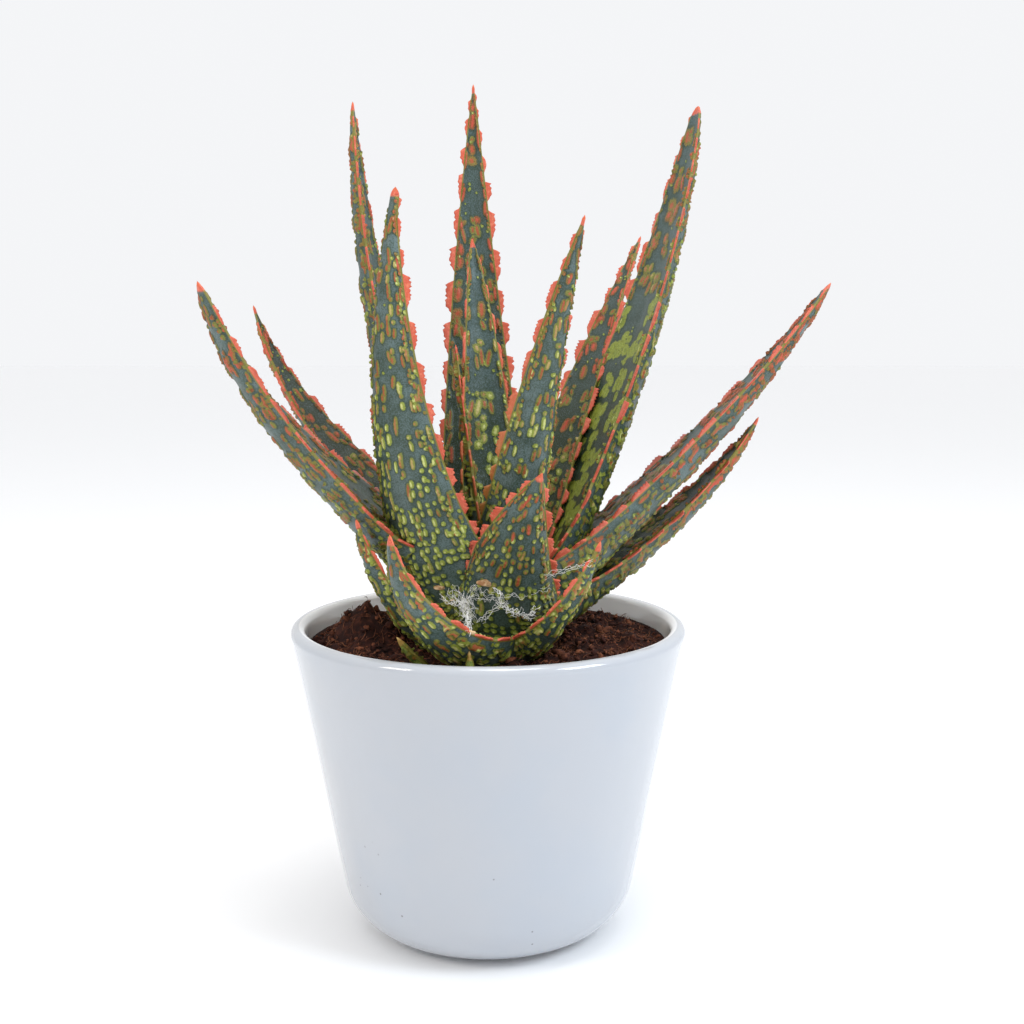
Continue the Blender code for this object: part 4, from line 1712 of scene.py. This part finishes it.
@dataclass(frozen=True)
class Panel:
    """A square soft light: where it hangs and its side, in metres, its power in watts, and its colour."""

    name: str
    place: tuple[float, float, float]
    side: float
    power: float
    colour: Colour

    def hang(self, aim: Vector) -> None:
        """Adds the light to the scene.

        Args:
            aim: The place that it faces.
        """
        data = bpy.data.lights.new(self.name, "AREA")
        data.shape = "SQUARE"
        data.size = self.side
        data.energy = self.power
        data.color = self.colour
        light = bpy.data.objects.new(self.name, data)
        light.location = self.place
        light.rotation_euler = (aim - Vector(self.place)).to_track_quat("-Z", "Y").to_euler()
        bpy.context.scene.collection.objects.link(light)


@dataclass
class Studio:
    """The camera where the photograph was taken from, a pale floor and soft light, with places in metres."""

    camera_place: tuple[float, float, float] = (0.0079, -0.45, 0.202)
    camera_pitch: float = 7.85
    focal_pixels: float = 1374.5
    image_pixels: float = 1024.0
    sensor: float = 36.0
    floor_side: float = 12.0
    sky: Colour = paint(250, 251, 253)
    sky_strength: float = 0.95
    aim: tuple[float, float, float] = (0.0, 0.0, 0.13)
    panels: tuple[Panel, ...] = (
        Panel("left_panel", (-0.8, -0.55, 0.75), 0.3, 2.4, paint(255, 246, 232)),
        Panel("right_panel", (0.75, -0.4, 0.8), 0.4, 5.0, paint(232, 244, 255)),
        Panel("top_panel", (0.1, -0.1, 1.1), 0.4, 2.4, paint(255, 255, 255)))

    def build(self) -> None:
        """Makes the camera, the floor, the world and the lights."""
        self.build_camera()
        self.build_floor()
        self.build_world()
        for panel in self.panels:
            panel.hang(Vector(self.aim))
        bpy.context.scene.view_settings.view_transform = "Standard"

    def build_camera(self) -> None:
        """Makes the camera and sets it as the scene's own."""
        data = bpy.data.cameras.new("camera")
        data.sensor_width = self.sensor
        data.lens = self.sensor * self.focal_pixels / self.image_pixels
        data.clip_start, data.clip_end = 0.01, 50.0
        camera = bpy.data.objects.new("camera", data)
        camera.location = self.camera_place
        camera.rotation_euler = (math.radians(90 - self.camera_pitch), 0.0, 0.0)
        bpy.context.scene.collection.objects.link(camera)
        bpy.context.scene.camera = camera

    def build_floor(self) -> None:
        """Makes the floor, which isn't part of the object."""
        mesh = bpy.data.meshes.new("floor")
        reach = self.floor_side / 2
        corners = [(-reach, -reach, 0), (reach, -reach, 0), (reach, reach, 0), (-reach, reach, 0)]
        mesh.from_pydata(corners, [], [(0, 1, 2, 3)])
        mesh.materials.append(PaleFloor().material())
        floor = bpy.data.objects.new("floor", mesh)
        bpy.context.scene.collection.objects.link(floor)

    def build_world(self) -> None:
        """Lights everything evenly from a pale sky."""
        world = bpy.data.worlds.new("pale_sky")
        world.use_nodes = True
        background = world.node_tree.nodes["Background"]
        background.inputs["Color"].default_value = (*self.sky, 1.0)
        background.inputs["Strength"].default_value = self.sky_strength
        bpy.context.scene.world = world


@dataclass(frozen=True)
class Strand:
    """A bundle of web threads between two places on the web's plane, across and up, in millimetres."""

    start: tuple[float, float]
    end: tuple[float, float]
    spread: float
    threads: int
    wander: float
    radius: float


@dataclass(frozen=True)
class Scrap:
    """A dried scrap: its place on the web's plane, half its width in millimetres, and how thick it is."""

    place: tuple[float, float]
    reach: float
    fullness: float


@dataclass
class Web:
    """The web at the plant's foot, strung over the low leaves, with dried scraps caught in it.

    Its places are given on an upright plane in front of the leaves, and each is carried along the camera's
    sight to the leaf behind it.
    """

    camera_place: tuple[float, float, float]
    leaves: list[bpy.types.Object]
    plane_y: float = -20.0
    cling: float = 2.5
    step: float = 0.5
    waves: int = 5
    scrap_lift: float = 0.6
    seed: int = 5
    strands: tuple[Strand, ...] = (
        Strand((-7.7, 115.7), (-6.2, 106.6), 0.9, 8, 2.2, 0.05),
        Strand((-11.2, 117.7), (-5.5, 110.5), 1.1, 7, 2.5, 0.05),
        Strand((-3.6, 117.0), (-8.0, 111.8), 1.3, 7, 2.5, 0.05),
        Strand((-8.0, 112.5), (-4.9, 107.3), 1.3, 7, 2.2, 0.05),
        Strand((-6.5, 110.5), (-5.8, 104.3), 0.5, 7, 1.3, 0.07),
        Strand((-15.0, 115.1), (-10.3, 112.5), 0.5, 4, 1.3, 0.07),
        Strand((-3.0, 107.3), (5.0, 113.1), 0.5, 4, 1.3, 0.07),
        Strand((2.8, 118.3), (4.7, 112.5), 0.5, 4, 1.6, 0.09),
        Strand((4.1, 113.1), (8.9, 109.5), 0.5, 4, 1.6, 0.09),
        Strand((7.9, 110.5), (14.9, 108.9), 0.5, 4, 1.6, 0.09),
        Strand((12.4, 109.2), (15.9, 111.8), 0.5, 3, 1.3, 0.09),
        Strand((-3.6, 117.7), (4.1, 114.4), 1.3, 5, 1.9, 0.05),
        Strand((5.7, 115.7), (20.6, 117.7), 0.9, 3, 1.9, 0.04),
        Strand((18.4, 121.9), (33.3, 126.4), 0.5, 4, 0.9, 0.05),
    )
    scraps: tuple[Scrap, ...] = (
        Scrap((-0.4, 119.9), 2.1, 0.12), Scrap((-5.2, 104.0), 1.0, 0.6), Scrap((-14.7, 118.3), 1.5, 0.2),
        Scrap((-11.2, 114.4), 0.5, 0.6), Scrap((11.4, 108.9), 0.5, 0.6))
    # The thread's faint glow is painted light that brightens it.
    thread: Thread = Thread("web_thread", paint(252, 252, 250), paint(236, 234, 228), 0.2)
    dried: Thread = Thread("dried_scrap", paint(222, 192, 150), paint(168, 122, 84))

    def __post_init__(self) -> None:
        """Seeds the threads and readies the leaves for the camera's sights."""
        self.chance = np.random.default_rng(self.seed)
        graph = bpy.context.evaluated_depsgraph_get()
        self.trees = [BVHTree.FromObject(leaf, graph) for leaf in self.leaves]

    def on_leaves(self, spots: np.ndarray, lift: np.ndarray) -> np.ndarray:
        """Carries spots of the web's plane to just in front of the leaves.

        Args:
            spots: Their places on that plane, across and up.
            lift: How far each stands off the leaves, towards the camera.

        Returns:
            Their places, or none if the camera sees no leaf there.
        """
        camera = Vector(self.camera_place)
        sights = [(Vector((across, self.plane_y, up)) * MM - camera).normalized() for across, up in spots]
        away = np.full(len(spots), np.nan)
        for place, sight in enumerate(sights):
            found = [tree.ray_cast(camera, sight)[3] for tree in self.trees]
            away[place] = min((far for far in found if far is not None), default=np.nan)
        known = np.flatnonzero(~np.isnan(away))
        if not len(known):
            return np.empty((0, 3))
        away = np.interp(np.arange(len(away)), known, away[known])
        taut = np.linspace(away[0], away[-1], len(away))
        away = np.where(np.abs(away - taut) < self.cling * MM, np.minimum(away, taut), taut) - lift * MM
        return (np.array(camera) + np.array(sights) * away[:, None]) / MM

    def build(self) -> list[bpy.types.Object]:
        """Makes the threads and the scraps."""
        return [self.build_threads(), self.build_scraps()]

    def build_threads(self) -> bpy.types.Object:
        """Makes the threads, each a thin tube that wanders between its ends.

        Returns:
            The object.
        """
        normal, uniform, draft = self.chance.normal, self.chance.uniform, Draft()
        for strand in self.strands:
            for _ in range(strand.threads):
                start, end = np.array([strand.start, strand.end]) + normal(0, strand.spread, (2, 2))
                steps = max(14, int(np.linalg.norm(end - start) / self.step))
                shares = np.linspace(0, 1, steps)[:, None]
                turns = uniform(0, math.tau, (2, self.waves))
                waves = sum(
                    np.sin(math.tau * shares * (1.2 + 1.4 * wave) + turns[:, wave]) / (1 + 0.35 * wave)
                    for wave in range(self.waves))
                spots = start + (end - start) * shares + waves * strand.wander * 0.35
                path = self.on_leaves(spots, 0.5 + 0.5 * np.abs(np.cumsum(normal(0, 0.35, steps))))
                if len(path):
                    draft.add(*tube(path, strand.radius * uniform(0.7, 1.4, len(path))))
        return draft.piece("web_threads", self.thread.material(), "leaf")

    def build_scraps(self) -> bpy.types.Object:
        """Makes the dried scraps, each a crumpled flake.

        Returns:
            The object.
        """
        draft = Draft()
        points, faces = ball(3)
        for scrap in self.scraps:
            rough = 1 + 0.7 * crumpled(points, self.chance, 2.2)
            size = scrap.reach * np.array([1.0, 0.2 + 0.5 * scrap.fullness, 0.4 + 0.4 * scrap.fullness])
            centre = self.on_leaves(np.array([scrap.place]), np.array([self.scrap_lift]))
            draft.add(points * rough[:, None] * size + centre, [faces])
        return draft.piece("web_scraps", self.dried.material(), "leaf", smooth=False)


def clear_scene() -> None:
    """Removes whatever Blender's own start-up scene holds."""
    for item in list(bpy.data.objects):
        bpy.data.objects.remove(item)


def main() -> None:
    """Builds every sub-assembly in turn and reports it."""
    logging.basicConfig(level=logging.INFO, format="%(name)s: %(message)s")
    clear_scene()
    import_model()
    pot = Pot()
    pot.build()
    Soil(pot).build()
    Stem().build()
    leaves = Rosette().build()
    LOG.info("%d leaves and offsets", len(leaves))
    studio = Studio()
    studio.build()
    Web(studio.camera_place, leaves).build()


if __name__ == "__main__":
    main()
